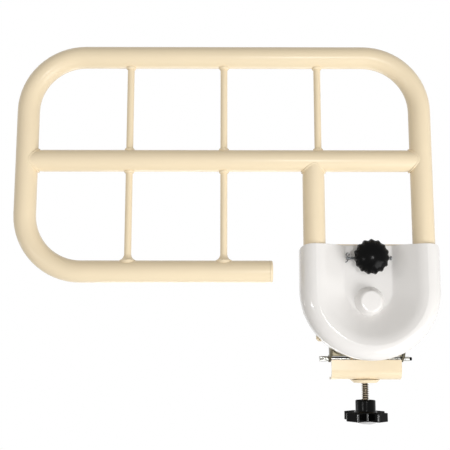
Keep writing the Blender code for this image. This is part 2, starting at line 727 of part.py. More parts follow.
def make_clamp_screw():
    """The threaded rod with its four-armed knob, and the pressure pad that it lifts."""
    place = at(0, CLAMP_Y, 0)
    pad_low, pad_top, rubber_top = -87.9 * MM, -84.2 * MM, -81.9 * MM
    tip_r = 3 * MM
    profile = [
        (0, pad_top - 1.3 * MM),
        (tip_r, pad_top - 1.3 * MM),
        (tip_r, pad_low - GAP),
        (CLAMP_SCREW_R, pad_low - 1.6 * MM),
        (CLAMP_SCREW_R, SCREW_END_Z),
        (0, SCREW_END_Z),
    ]
    finish(turned("clamp_screw", profile, place, "Z", 20), YELLOW_ZINC, CLAMP)
    socket = pad_top - 1 * MM
    profile = [
        (0, pad_top),
        (PAD_R, pad_top),
        (PAD_R, pad_low),
        (tip_r + GAP, pad_low),
        (tip_r + GAP, socket),
        (0, socket),
    ]
    finish(turned("pad_cup", profile, place, "Z"), ZINC, CLAMP)
    rubber = cylinder("pad_rubber", PAD_R, pad_top + GAP, rubber_top, place, "Z")
    finish(rubber, RUBBER, CLAMP)
    low, high = ARM_Z
    knob = plate("cross_knob", "XY", [cross_outline()], low, high, (0, CLAMP_Y, 0))
    combine(knob, cylinder("cross_hub", HUB_R, high - 2 * MM, HUB_TOP_Z, place, "Z"), "UNION")
    bore_r = CLAMP_SCREW_R + GAP
    combine(knob, cylinder("cross_bore", bore_r, SCREW_END_Z - 0.5 * MM, HUB_TOP_Z + 9 * MM, place, "Z", 20))
    finish(knob, BLACK, CLAMP)
    cap = [(0, low - GAP), (CAP_R, low - GAP), (CAP_R, low - 1.5 * MM)]
    cap += [(13 * MM, low - 3.6 * MM), (7 * MM, CAP_LOW_Z + 0.6 * MM), (0, CAP_LOW_Z)]
    finish(turned("knob_cap", cap, place, "Z"), GREY_CAP, CLAMP)


make_outer_tube()
make_mid_tube()
make_rods()
make_pivot_plate()
make_lock_stud()
make_cover()
make_lock_knob()
make_swivel_plate()
make_bracket()
make_jaw()
make_clamp_screw()
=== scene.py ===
# %% [markdown]
# # A swivel bed rail, dressed for its portrait
#
# The real object is a grab rail for the side of a bed: one long steel tube bent into a frame, a second tube
# across its middle, five thin rods, and a white plastic cover over the U-bend at the bottom. Behind the
# cover the rail turns on a bolt. A black knob locks it, and a screw clamp below grips the bed's side rail.
#
# The measured solids come from the CAD model, in metres. They have few faces, so that physics runs fast.
# This lesson models smooth pieces in the same places, and gives every surface its finish.

# %% Load the measured model
import json
import math

import bmesh
import bpy
from mathutils import Matrix, Vector

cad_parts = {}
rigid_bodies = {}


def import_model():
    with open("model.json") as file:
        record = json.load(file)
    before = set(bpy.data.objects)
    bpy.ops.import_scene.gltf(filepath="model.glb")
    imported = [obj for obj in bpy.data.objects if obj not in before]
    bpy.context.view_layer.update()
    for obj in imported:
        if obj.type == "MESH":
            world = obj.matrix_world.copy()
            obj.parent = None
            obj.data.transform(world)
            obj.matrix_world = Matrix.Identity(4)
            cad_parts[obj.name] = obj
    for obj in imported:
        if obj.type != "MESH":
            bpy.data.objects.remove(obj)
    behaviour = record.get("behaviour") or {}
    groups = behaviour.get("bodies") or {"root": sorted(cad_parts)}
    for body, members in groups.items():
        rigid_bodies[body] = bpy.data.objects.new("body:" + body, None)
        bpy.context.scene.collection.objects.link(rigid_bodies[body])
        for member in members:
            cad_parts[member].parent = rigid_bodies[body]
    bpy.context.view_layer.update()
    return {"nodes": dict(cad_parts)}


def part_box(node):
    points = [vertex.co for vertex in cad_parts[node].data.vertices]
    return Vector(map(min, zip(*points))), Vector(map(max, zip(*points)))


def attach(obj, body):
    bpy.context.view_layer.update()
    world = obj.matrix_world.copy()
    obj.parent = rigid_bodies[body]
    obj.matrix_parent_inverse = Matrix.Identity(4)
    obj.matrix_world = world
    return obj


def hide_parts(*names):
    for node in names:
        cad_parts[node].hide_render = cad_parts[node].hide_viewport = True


for start_object in list(bpy.data.objects):
    bpy.data.objects.remove(start_object)

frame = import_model()

# %% [markdown]
# ## One way to name a place
#
# The CAD model's origin is where the clamp's hook rests on the bed. For modelling, the middle of the U-bend
# is a better start: the legs stand at equal distances from it, and all bends are measured from there. So
# every place below is given in millimetres from the middle of the U-bend, and at() turns it into the CAD's
# metres. X runs to the right, Y to the back and Z up, as seen from the front.

# %% Places in millimetres
MM = 0.001
U_BEND_Y, U_BEND_Z = -65, 31
TUBE_R = 15
LEG_X = 74
LEFT_X = -467.5
TOP_Z = 324.5
MID_Z = 176.5
LOW_Z = 24
CORNER_R = 78
FREE_END_X = -135
PIVOT_Z = -15.5
LOCK_Z = 43
CLAMP_Y = 58


def at(x=0.0, y=0.0, z=0.0):
    """A place given in millimetres from the middle of the U-bend, in the CAD's metres."""
    return Vector((x, y + U_BEND_Y, z + U_BEND_Z)) * MM


low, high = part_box("outer_tube")
print("tube centre from the CAD:", round((low.y + high.y) / 2, 4), "and from at():", round(at().y, 4))

# %% [markdown]
# ## The tools of this workbench
#
# Each piece starts as a primitive and is shaped in edit mode, as by hand. A few small helpers keep that
# short: one adds the primitive and opens it for editing, one selects vertices, edges or faces by a test on
# their place, two extrude and scale what is selected, one slices a side off, and one closes the piece.
# Everything is deselected before a primitive is added, because an operator acts on all that is selected,
# the loaded CAD nodes among them.

# %% Helpers for edit mode
def begin(name, add, **settings):
    """Adds a primitive under a name and opens it in edit mode, all of it selected."""
    bpy.ops.object.select_all(action="DESELECT")
    add(**settings)
    piece = bpy.context.object
    piece.name = name
    piece.data.name = name
    bpy.ops.object.transform_apply(location=True, rotation=True, scale=True)
    bpy.ops.object.mode_set(mode="EDIT")
    bpy.ops.mesh.select_mode(type="VERT")
    bpy.ops.mesh.select_all(action="SELECT")
    return piece


def middle_of(part):
    """The place of a vertex, or the middle of an edge or face."""
    if isinstance(part, bmesh.types.BMVert):
        return part.co.copy()
    if isinstance(part, bmesh.types.BMEdge):
        return (part.verts[0].co + part.verts[1].co) / 2
    return part.calc_center_median()


def pick(piece, kind, test):
    """Selects only the vertices, edges or faces whose middle passes the test, and returns how many."""
    bpy.ops.mesh.select_mode(type=kind)
    bpy.ops.mesh.select_all(action="DESELECT")
    work = bmesh.from_edit_mesh(piece.data)
    parts = {"VERT": work.verts, "EDGE": work.edges, "FACE": work.faces}[kind]
    found = [part for part in parts if test(middle_of(part))]
    for part in found:
        part.select_set(True)
    work.select_flush_mode()
    bmesh.update_edit_mesh(piece.data)
    return len(found)


def extrude(x=0.0, y=0.0, z=0.0):
    """Extrudes what is selected by millimetres."""
    bpy.ops.mesh.extrude_region_move(TRANSFORM_OT_translate={"value": Vector((x, y, z)) * MM})


def scale(x, y, z, centre=(0, 0, 0)):
    """Scales what is selected from a centre."""
    bpy.ops.transform.resize(value=(x, y, z), center_override=centre)


def slice_off(place, normal, fill=True):
    """Cuts the open piece by a plane, and takes away the side that the normal points to."""
    bpy.ops.mesh.select_all(action="SELECT")
    bpy.ops.mesh.bisect(plane_co=place, plane_no=normal, clear_outer=True, use_fill=fill)


def close(piece, sharp=35):
    """Merges doubles, turns all faces outwards and leaves edit mode with smooth shading."""
    bpy.ops.mesh.select_all(action="SELECT")
    bpy.ops.mesh.remove_doubles(threshold=1e-6)
    bpy.ops.mesh.normals_make_consistent(inside=False)
    bpy.ops.object.mode_set(mode="OBJECT")
    bpy.ops.object.shade_smooth_by_angle(angle=math.radians(sharp))
    return piece


# %% [markdown]
# ## Tools for whole pieces
#
# Outside edit mode a piece gets modifiers, which are applied at once, so that the mesh that is seen is the
# mesh that is kept. A piece that repeats is modelled once and copied, and each copy has its own mesh. A
# piece moves by its mesh: its object stays at the origin, where patterns on object coordinates have their
# zero.

# %% Helpers for whole pieces
def select_only(*pieces):
    """Selects these pieces and nothing else, and makes the first one active."""
    bpy.ops.object.select_all(action="DESELECT")
    for piece in pieces:
        piece.select_set(True)
    bpy.context.view_layer.objects.active = pieces[0]


def reopen(piece):
    """Opens a piece in edit mode again, all of it selected."""
    select_only(piece)
    bpy.ops.object.mode_set(mode="EDIT")
    bpy.ops.mesh.select_all(action="SELECT")
    return piece


def modify(piece, kind, **settings):
    """Adds a modifier with its settings and applies it at once."""
    modifier = piece.modifiers.new(kind.lower(), kind)
    for setting, value in settings.items():
        setattr(modifier, setting, value)
    bpy.context.view_layer.objects.active = piece
    bpy.ops.object.modifier_apply(modifier=modifier.name)
    return piece


def smooth(piece, sharp=35):
    """Smooth shading with sharp edges past an angle."""
    select_only(piece)
    bpy.ops.object.shade_smooth_by_angle(angle=math.radians(sharp))
    return piece


def duplicate(piece, name):
    """A copy of a piece with its own mesh."""
    copy = piece.copy()
    copy.data = piece.data.copy()
    copy.name = copy.data.name = name
    bpy.context.scene.collection.objects.link(copy)
    return copy


def move(piece, x=0.0, y=0.0, z=0.0):
    """Moves a piece's mesh by millimetres. Its object stays at the origin."""
    piece.data.transform(Matrix.Translation(Vector((x, y, z)) * MM))
    return piece


def put(piece, x, y, z):
    """Moves a piece that was made at the origin to a place from the middle of the U-bend."""
    return move(piece, x, y + U_BEND_Y, z + U_BEND_Z)


def join(name, *pieces):
    """Joins pieces into the first one."""
    select_only(*pieces)
    bpy.ops.object.join()
    pieces[0].name = pieces[0].data.name = name
    return pieces[0]


def count(piece):
    """A line on a piece's size and number of faces."""
    size = [round(value / MM, 1) for value in piece.dimensions]
    return f"{piece.name}: {size} mm, {len(piece.data.polygons)} faces"


# %% [markdown]
# ## Finishes
#
# A finish is a small network of nodes on the Principled shader. Object coordinates feed a noise, because
# every finished piece sits at the origin with its place in its mesh, so the grain keeps its real size on
# all of them. A colour or number that is the same all over is written on the shader itself, and only what
# varies is linked. One helper adds a node and fills its sockets, so a network reads in the order in which
# it is built.

# %% Helpers for finishes
def fill(tree, socket, value):
    """Gives a socket a value, or a link from another node's output."""
    if isinstance(value, bpy.types.NodeSocket):
        tree.links.new(value, socket)
    else:
        socket.default_value = value


def add_node(tree, kind, *values, **named):
    """Adds a node. Values go to its first sockets, small names are settings and capital names sockets."""
    node = tree.nodes.new(kind)
    for name, value in named.items():
        if name[0].islower():
            setattr(node, name, value)
    for socket, value in zip(node.inputs, values):
        fill(tree, socket, value)
    for name, value in named.items():
        if name[0].isupper():
            fill(tree, node.inputs[name.replace("_", " ")], value)
    return node


def new_finish(name, **sockets):
    """A material with its Principled shader, and the sockets that are the same all over."""
    made = bpy.data.materials.new(name)
    made.use_nodes = True
    tree = made.node_tree
    shader = tree.nodes["Principled BSDF"]
    for socket, value in sockets.items():
        fill(tree, shader.inputs[socket.replace("_", " ")], value)
    print("finish:", name)
    return made, tree, shader


def grain(tree, size, detail=2.0):
    """A noise with features of about the given size in millimetres."""
    place = add_node(tree, "ShaderNodeTexCoord").outputs["Object"]
    noise = add_node(tree, "ShaderNodeTexNoise", Vector=place, Scale=1 / (size * MM), Detail=detail)
    return noise.outputs["Fac"]


def between(tree, noise, low, high):
    """A colour ramp from one tone to another, over the middle third of a noise."""
    ramp = add_node(tree, "ShaderNodeValToRGB", noise)
    for element, position, tone in zip(ramp.color_ramp.elements, (0.35, 0.65), (low, high)):
        element.position = position
        element.color = (*tone, 1)
    return ramp.outputs["Color"]


def vary(tree, shader, socket, noise, low, high):
    """Lets a socket of the shader drift between two values. A number is a grey tone."""
    if isinstance(low, float):
        low, high = (low,) * 3, (high,) * 3
    tree.links.new(between(tree, noise, low, high), shader.inputs[socket])


def bump(tree, shader, noise, depth):
    """Raises the surface along a noise, by a depth in millimetres."""
    raised = add_node(tree, "ShaderNodeBump", Distance=depth * MM, Height=noise)
    tree.links.new(raised.outputs["Normal"], shader.inputs["Normal"])


# %% [markdown]
# The tubes, rods and plates are powder coated: a cream paint that is baked on as dust. It dries with a
# faint orange peel, about a millimetre from crest to crest, and its tone drifts a little over a long tube.
# A plain colour with a bump would do, but the drift keeps half a metre of tube from looking like plastic.
# The gloss is just high enough for a lamp to draw a soft line where a bend faces it.

# %% Cream powder coat
CREAM = (0.90, 0.765, 0.545)


def cream_coat():
    made, tree, shader = new_finish("cream_powder_coat", Roughness=0.26, IOR=1.45, Specular_IOR_Level=0.3)
    vary(tree, shader, "Base Color", grain(tree, 60, 1.0), [value * 0.985 for value in CREAM], CREAM)
    bump(tree, shader, grain(tree, 1.1, 1.5), 0.006)
    return made


CREAM_COAT = cream_coat()

# %% [markdown]
# The cover is glossy white plastic, moulded in one piece, with a breath of warmth in it. Moulded gloss is
# never quite flat, so a wide and shallow wave bends its reflections. The roughness stays low and even,
# because a moulding comes from a polished tool.

# %% White gloss plastic
def white_gloss():
    made, tree, shader = new_finish("white_gloss_plastic", Roughness=0.12)
    vary(tree, shader, "Base Color", grain(tree, 35, 1.0), (0.84, 0.825, 0.81), (0.855, 0.84, 0.825))
    bump(tree, shader, grain(tree, 14, 1.0), 0.012)
    return made


WHITE_GLOSS = white_gloss()

# %% [markdown]
# The knobs are black nylon. Fine pits from the mould scatter the light, by a noise that sets both roughness
# and bump. One function makes four finishes of it: satin on the round knob, polished on the four-armed
# knob, grained on the arms' upper faces, which would otherwise mirror the white room, and on the arms'
# corners a much stronger reflection, which paints bright highlight lines along them.

# %% Black nylon
def black_nylon(name, smooth_part, rough_part, shine):
    made, tree, shader = new_finish(name, IOR=1.5, Specular_IOR_Level=shine)
    pits = grain(tree, 0.5, 3.0)
    vary(tree, shader, "Base Color", grain(tree, 9), 0.001, 0.002)
    vary(tree, shader, "Roughness", pits, smooth_part, rough_part)
    bump(tree, shader, pits, 0.006)
    return made


BLACK_NYLON = black_nylon("black_nylon", 0.17, 0.23, 0.08)
POLISHED_NYLON = black_nylon("polished_nylon", 0.10, 0.16, 0.09)
GRAINED_NYLON = black_nylon("grained_nylon", 0.86, 0.94, 0.05)
# Strong reflection on the arms' corners: a painted highlight.
PAINTED_HIGHLIGHT_NYLON = black_nylon("nylon_painted_highlight", 0.12, 0.18, 0.85)

# %% [markdown]
# Pins, bolts and washers are plated steel. Plating grows in small crystals, so its brightness and roughness
# change from patch to patch, along the same noise. The pins behind the knob have gone dull. The clamp's
# hook and side plates have a yellow zinc plating, darkened to a dark olive that paints the shade lying on
# them behind the cover. The knob's threaded bush is brass.

# %% Plated steel and brass
def plated(name, dark, light, smooth_part, rough_part, size=3.0):
    made, tree, shader = new_finish(name, Metallic=1.0)
    patches = grain(tree, size, 3.0)
    vary(tree, shader, "Base Color", patches, dark, light)
    vary(tree, shader, "Roughness", patches, smooth_part, rough_part)
    bump(tree, shader, grain(tree, 0.4), 0.004)
    return made


BRIGHT_ZINC = plated("bright_zinc", (0.40, 0.40, 0.38), (0.56, 0.56, 0.53), 0.24, 0.36)
# Dark olive: the plating darkened to paint the shade behind the cover.
SHADE_DARKENED_ZINC = plated("zinc_darkened_by_painted_shade", (0.12, 0.107, 0.072), (0.21, 0.188, 0.13), 0.32, 0.45, 2.0)
DULL_STEEL = plated("dull_pin_steel", (0.08, 0.085, 0.09), (0.20, 0.205, 0.21), 0.20, 0.32)
BRASS = plated("turned_brass", (0.66, 0.47, 0.18), (0.80, 0.60, 0.26), 0.28, 0.38)

# %% [markdown]
# The clamp's long screw is plated too. Ridges of geometry alone would shade too evenly, so shade is painted
# into the roots of its thread: the tone follows the distance from the screw's axis, and a Map Range turns
# the millimetre between root and crest into a share from painted shade to metal. The screw only turns about
# that axis and slides along it, so the pattern stays right as it moves.

# %% The screw's thread
THREAD_ROOT_R, THREAD_CREST_R = 3.8, 4.9


def thread_finish():
    made, tree, shader = new_finish("threaded_zinc", Metallic=1.0, Roughness=0.34)
    place = add_node(tree, "ShaderNodeTexCoord").outputs["Object"]
    flat = add_node(tree, "ShaderNodeVectorMath", place, (1, 1, 0), operation="MULTIPLY").outputs["Vector"]
    axis = (0, (CLAMP_Y + U_BEND_Y) * MM, 0)
    away = add_node(tree, "ShaderNodeVectorMath", flat, axis, operation="DISTANCE").outputs["Value"]
    edges = {"From_Min": THREAD_ROOT_R * MM, "From_Max": THREAD_CREST_R * MM}
    share = add_node(tree, "ShaderNodeMapRange", Value=away, **edges).outputs["Result"]
    # Near black in the thread's roots: painted shade.
    painted_root_shade = (0.02, 0.014, 0.009, 1)
    metal = between(tree, grain(tree, 2, 3.0), (0.22, 0.175, 0.125), (0.34, 0.28, 0.205))
    tone = add_node(tree, "ShaderNodeMix", data_type="RGBA", Factor=share, A=painted_root_shade, B=metal)
    tree.links.new(tone.outputs["Result"], shader.inputs["Base Color"])
    bump(tree, shader, grain(tree, 0.4), 0.004)
    return made


THREADED_ZINC = thread_finish()

# %% [markdown]
# The pads are black rubber: matt, slightly grey, with a fine grain from the mould. The bush and the disc
# between the plates are uncoloured nylon, milky and waxy. The cap under the clamp knob is pale grey
# plastic. All three are one recipe with other numbers: a noise for the tone that also gives the bump.

# %% Rubber, plain nylon and the grey cap
def matt(name, dark, light, roughness, size, depth):
    made, tree, shader = new_finish(name, Roughness=roughness)
    skin = grain(tree, size)
    vary(tree, shader, "Base Color", skin, dark, light)
    bump(tree, shader, skin, depth)
    return made


RUBBER = matt("black_rubber", (0.024, 0.024, 0.025), (0.040, 0.040, 0.041), 0.78, 0.8, 0.05)
MILKY_NYLON = matt("milky_nylon", (0.70, 0.68, 0.62), (0.76, 0.74, 0.69), 0.45, 4.0, 0.01)
GREY_CAP = matt("pale_grey_plastic", (0.50, 0.50, 0.51), (0.54, 0.54, 0.55), 0.38, 3.0, 0.01)

# %% [markdown]
# ## Handing a piece over
#
# Each finished piece goes through the same door. Weighted normals let large flats keep one direction up to
# their rounded edges, so a small lamp shows on a flat wall as it does on the real one. Then the piece gets
# its finish, hangs on the body that it moves with, and hides the CAD nodes that it stands for.


def hand_over(piece, finish, body, *nodes):
    """Paints a piece, hangs it on its body, and hides the CAD nodes that it stands for."""
    modify(piece, "WEIGHTED_NORMAL", keep_sharp=True)
    piece.data.materials.clear()
    piece.data.materials.append(finish)
    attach(piece, body)
    if nodes:
        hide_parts(*nodes)
    print(count(piece))
    return piece


# %% [markdown]
# ## The bent tube
#
# On the real rail one tube, 30 mm thick, runs from its plugged end round the whole frame to the top of the
# left leg. It could be a curve with a round bevel, or a ring that travels. The ring is closer to how a tube
# bender works: it goes straight, then swings about the bend's centre. So a circle is extruded along each
# straight and spun round each bend, and Solidify gives the wall its 2 mm.
#
# Where a tube ends on another tube of its own size, the two would meet in a sharp gable. The real joints
# are round arches. So the last stretch before such an end is drawn in, by a tenth at its hidden tip.

# %% The ring travels along the path
SIDEWAYS = (0, math.pi / 2, 0)
FORWARDS = (math.pi / 2, 0, 0)
WALL = 2
END_TAPER = 24
END_SHARE = 0.9


def ring(name, radius, place, vertices=48, **settings):
    """Starts a piece as a circle with a radius in millimetres."""
    add = bpy.ops.mesh.primitive_circle_add
    return begin(name, add, vertices=vertices, radius=radius * MM, location=place, **settings)


def bend(x, z, degrees, steps):
    """Swings the selected ring about a bend's centre, clockwise as seen from the front."""
    bpy.ops.mesh.spin(steps=steps, angle=math.radians(degrees), center=at(x, 0, z), axis=(0, -1, 0))


def finish_tube(tube, node):
    """Gives a tube its wall and hands it over."""
    close(tube)
    modify(tube, "SOLIDIFY", thickness=WALL * MM, offset=-1)
    return hand_over(smooth(tube), CREAM_COAT, "rail", node)


def make_bent_tube():
    tube = ring("bent_tube", TUBE_R, at(FREE_END_X, 0, LOW_Z), rotation=SIDEWAYS)
    inner_left, inner_right = LEFT_X + CORNER_R, LEG_X - CORNER_R
    extrude(x=inner_left - FREE_END_X)
    bend(inner_left, LOW_Z + CORNER_R, 90, 16)
    extrude(z=TOP_Z - LOW_Z - 2 * CORNER_R)
    bend(inner_left, TOP_Z - CORNER_R, 90, 16)
    extrude(x=inner_right - inner_left)
    bend(inner_right, TOP_Z - CORNER_R, 90, 16)
    extrude(z=-(TOP_Z - CORNER_R))
    bend(0, 0, 180, 32)
    extrude(z=MID_Z - END_TAPER)
    extrude(z=END_TAPER)
    scale(END_SHARE, END_SHARE, 1, at(-LEG_X, 0, MID_Z))
    finish_tube(tube, "outer_tube")


make_bent_tube()

# %% [markdown]
# ## The cross tube and the plug
#
# The cross tube is cut so that it sits against the left upright and the right leg. Its ends go into those
# tubes here, where the welds hide them, and are drawn in as the left leg's is. The free end of the bent
# tube is closed by a plug with a rounded edge, coated with the tube. A bevel on the plug's edge is all that
# tells it from the tube. The plug is a filled circle, extruded into a spigot, widened into a collar and
# extruded again.

# %% Cross tube and end plug
PLUG_R = 12.4
PLUG_DEPTH = 16
PLUG_GAP = 0.2
COLLAR = 3.8


def make_cross_tube():
    left, right = at(LEFT_X, 0, MID_Z), at(LEG_X, 0, MID_Z)
    tube = ring("cross_tube", TUBE_R, left, rotation=SIDEWAYS)
    scale(1, END_SHARE, END_SHARE, left)
    extrude(x=END_TAPER)
    scale(1, 1 / END_SHARE, 1 / END_SHARE, left)
    extrude(x=LEG_X - LEFT_X - 2 * END_TAPER)
    extrude(x=END_TAPER)
    scale(1, END_SHARE, END_SHARE, right)
    finish_tube(tube, "mid_tube")


def make_end_plug():
    start = at(FREE_END_X - PLUG_DEPTH, 0, LOW_Z)
    plug = ring("tube_end_plug", PLUG_R, start, fill_type="NGON", rotation=SIDEWAYS)
    extrude(x=PLUG_DEPTH + PLUG_GAP)
    extrude()
    scale(1, TUBE_R / PLUG_R, TUBE_R / PLUG_R, at(FREE_END_X + PLUG_GAP, 0, LOW_Z))
    extrude(x=COLLAR)
    near_end = at(FREE_END_X + COLLAR + PLUG_GAP / 2).x
    pick(plug, "EDGE", lambda p: p.x > near_end)
    bpy.ops.mesh.bevel(offset=1.8 * MM, segments=4)
    hand_over(close(plug), CREAM_COAT, "rail", "end_plug")


make_cross_tube()
make_end_plug()

# %% [markdown]
# ## The rods
#
# Five rods stand between the tubes, three above the cross tube and two below. All are 9.5 mm thick. A rod
# is modelled as a circle that is extruded between the tubes' centre lines, where its ends can't be seen.
# One upper and one lower rod are made, and the others are copies.

# %% Five rods
ROD_R = 4.75
ROD_X = [LEFT_X + 141 + 129.75 * step for step in range(3)]
ROD_INSET = 4


def make_rods(name, low_z, high_z, sides):
    start = at(ROD_X[0], 0, low_z + ROD_INSET)
    first = ring(name, ROD_R, start, 32, fill_type="NGON")
    extrude(z=high_z - low_z - 2 * ROD_INSET)
    close(first)
    for side, x in zip(sides, ROD_X):
        rod = move(duplicate(first, f"bar_{name}_{side}"), x=x - ROD_X[0])
        hand_over(rod, CREAM_COAT, "rail", f"{name}_{side}")
    bpy.data.objects.remove(first)


make_rods("upper_rod", MID_Z, TOP_Z, ("left", "middle", "right"))
make_rods("lower_rod", LOW_Z, MID_Z, ("left", "right"))

# %% [markdown]
# ## Chains and turned pieces
#
# Bolts, washers, domes and caps are all turned: a half profile swings once round an axis. The profile is a
# chain of edges. A plane is cut down to one of its corners, that corner is extruded from point to point,
# and spin closes the round. A point on the axis makes a pole, which the merge of doubles closes. A corner
# of a profile is rounded by a few points on a curve, before it is turned.

# %% A chain, and the lathe
def begin_chain(name, points):
    """Opens a new piece that is a chain of edges through the points."""
    points = [Vector(point) for point in points]
    corner = points[0] + Vector((MM, MM, 0))
    piece = begin(name, bpy.ops.mesh.primitive_plane_add, size=2 * MM, location=corner)
    pick(piece, "VERT", lambda p: (p - points[0]).length > MM)
    bpy.ops.mesh.delete(type="VERT")
    bpy.ops.mesh.select_all(action="SELECT")
    for before, after in zip(points, points[1:]):
        bpy.ops.mesh.extrude_vertices_move(TRANSFORM_OT_translate={"value": after - before})
    bpy.ops.mesh.select_all(action="SELECT")
    return piece


ALONG = {"X": Vector((1, 0, 0)), "Y": Vector((0, 1, 0)), "Z": Vector((0, 0, 1))}
OUT = {"X": Vector((0, 0, 1)), "Y": Vector((1, 0, 0)), "Z": Vector((1, 0, 0))}


def turn(name, profile, centre, axis, steps=48):
    """Turns a profile of (radius, height) in millimetres about an axis through a centre."""
    points = [centre + (OUT[axis] * radius + ALONG[axis] * height) * MM for radius, height in profile]
    piece = begin_chain(name, points)
    bpy.ops.mesh.spin(steps=steps, angle=math.tau, center=centre, axis=ALONG[axis])
    return close(piece)


def swept(start, corner, stop, steps):
    """Points on the round curve that leaves start towards a corner and arrives at stop."""
    shares = [step / steps for step in range(steps + 1)]
    return [start.lerp(corner, share).lerp(corner.lerp(stop, share), share) for share in shares]


def rounded(profile, corner, radius, steps=4):
    """Rounds one corner of a profile, by its number in the list."""
    before, point, after = (Vector(profile[corner + step]) for step in (-1, 0, 1))
    start = point + (before - point).normalized() * radius
    stop = point + (after - point).normalized() * radius
    curve = [tuple(place) for place in swept(start, point, stop, steps)]
    return profile[:corner] + curve + profile[corner + 1 :]


print("points of a square corner, rounded:", len(rounded([(0, 0), (5, 0), (5, 5)], 1, 1)))

# %% [markdown]
# ## The weld beads
#
# Every joint of the rail is welded, and through the paint the bead still shows as a small rippled ring. A
# torus is the natural start. Every second ring of it is fattened a little, which gives the ripples of a
# weld that was laid in steps. The beads round the rods are one such ring, stretched along the rod and
# copied to each end that shows.

# %% Beads round the rods
RIPPLE = 0.12


def begin_bead(name, ring_r, bead_r, segments):
    """A torus in edit mode with every second ring fattened."""
    bead = begin(
        name,
        bpy.ops.mesh.primitive_torus_add,
        major_radius=ring_r * MM,
        minor_radius=bead_r * MM,
        major_segments=segments,
        minor_segments=10,
    )
    step = math.tau / segments
    pick(bead, "VERT", lambda p: round(math.atan2(p.y, p.x) / step) % 2 == 0)
    bpy.ops.transform.shrink_fatten(value=RIPPLE * bead_r * MM)
    bpy.ops.mesh.select_all(action="SELECT")
    return bead


def make_rod_beads():
    bead = begin_bead("rod_bead", ROD_R + 0.5, 1.6, 24)
    scale(1, 1, 1.5)
    close(bead, 60)
    joints = [(x, z) for x in ROD_X for z in (MID_Z + TUBE_R, TOP_Z - TUBE_R)]
    joints += [(x, MID_Z - TUBE_R) for x in ROD_X[:2]]
    beads = [put(duplicate(bead, "rod_bead"), x, 0, z) for x, z in joints]
    bpy.data.objects.remove(bead)
    hand_over(join("rod_weld_beads", *beads), CREAM_COAT, "rail")


make_rod_beads()

# %% [markdown]
# The two lower rods end in a wide flared weld on the lower tube: the welder filled the corner until it ran
# out like the bell of a trumpet. A chain with a hollow curve is turned round the rod, and its skirt goes
# down into the tube.

# %% Flared welds at the foot of the lower rods
curve = [(9.6, 0.9), (7.8, 2.1), (6.4, 3.8), (5.4, 5.6), (4.9, 7.4)]
profile = [(0, -4), (11, -4), (11, 0.2), *curve, (0, 7.4)]
flare = turn("flare", profile, at(ROD_X[0], 0, LOW_Z + TUBE_R), "Z", 32)
second = move(duplicate(flare, "flare"), x=ROD_X[1] - ROD_X[0])
hand_over(join("flared_welds", flare, second), CREAM_COAT, "rail")

# %% [markdown]
# Where two tubes of one size meet, the line between them is two halves of an ellipse, each in a plane at 45
# degrees. So a ring is stretched, turned by 45 degrees, cut in half and mirrored. The ends that were drawn
# in turn the gable into an arch, and the bead follows it: row by row its points shift along the tube, most
# of all at the top of the arch. The ring is flattened from front to back, so that it hardly stands proud
# there, and the paint seems to run over it.

# %% Beads where tubes of one size meet
ARCH = 5.9
ROWS = 54
ROW_HEIGHT = 1 / 3


def make_saddle_bead():
    """A bead for a tube along X that ends on a tube along Z at the origin."""
    bead = begin_bead("saddle_bead", TUBE_R, 1.3, 72)
    scale(1, 0.875, 1)
    bpy.ops.transform.rotate(value=math.radians(90), orient_axis="Y", center_override=(0, 0, 0))
    scale(1, 1, math.sqrt(2))
    bpy.ops.transform.rotate(value=math.radians(45), orient_axis="Y", center_override=(0, 0, 0))
    slice_off((0, 0, 0), (0, 0, -1), fill=False)
    bpy.ops.object.mode_set(mode="OBJECT")
    modify(bead, "MIRROR", use_axis=(False, False, True), merge_threshold=1e-5)
    reopen(bead)
    for row in range(ROWS):
        low, high = row * ROW_HEIGHT, (row + 1) * ROW_HEIGHT
        middle = (low + high) / 2
        if pick(bead, "VERT", lambda p: low * MM <= abs(p.z) < high * MM):
            shift = middle - math.hypot(ARCH, middle)
            bpy.ops.transform.translate(value=(shift * MM, 0, 0))
    return close(bead, 60)


def make_tube_beads():
    right = make_saddle_bead()
    left = duplicate(right, "saddle_bead")
    left.data.transform(Matrix.Rotation(math.pi, 4, "Z"))
    below = duplicate(right, "saddle_bead")
    below.data.transform(Matrix.Rotation(-math.pi / 2, 4, "Y"))
    for bead, x in ((right, LEG_X), (left, LEFT_X), (below, -LEG_X)):
        put(bead, x, 0, MID_Z)
    hand_over(join("tube_weld_beads", right, left, below), CREAM_COAT, "rail")


make_tube_beads()

# %% [markdown]
# ## The white cover
#
# The cover is a moulded bowl: it rolls over the legs and the U-bend, turns over a soft crest, runs down a
# slope, and ends in a flat floor with a dome over the pivot. Its section is the same all the way round the
# U, so the section is drawn once as a chain at the top of the left leg, extruded down to the middle of the
# bend, and spun round a quarter of it. The mirror makes the other half, and Solidify gives the plastic its
# wall of 2.5 mm. At the outer edge the top corners drop a few millimetres, so each point of the chain
# carries its own drop.

# %% The cover's section
COVER_TOP = 61
COVER_R = 94
CREST_Y = -18
FLOOR_Y = 8
FOOT_R = 31.9


def edge_drop(degrees):
    """How far the top edge drops, at an angle of the roll over the tube."""
    drops = ((0, 6), (22.5, 4), (45, 1.2), (67.5, 0.3), (90, 0))
    near = max(pair for pair in drops if pair[0] <= degrees)
    after = min(pair for pair in drops if pair[0] >= degrees)
    share = (degrees - near[0]) / (after[0] - near[0]) if after != near else 0
    return near[1] + (after[1] - near[1]) * share


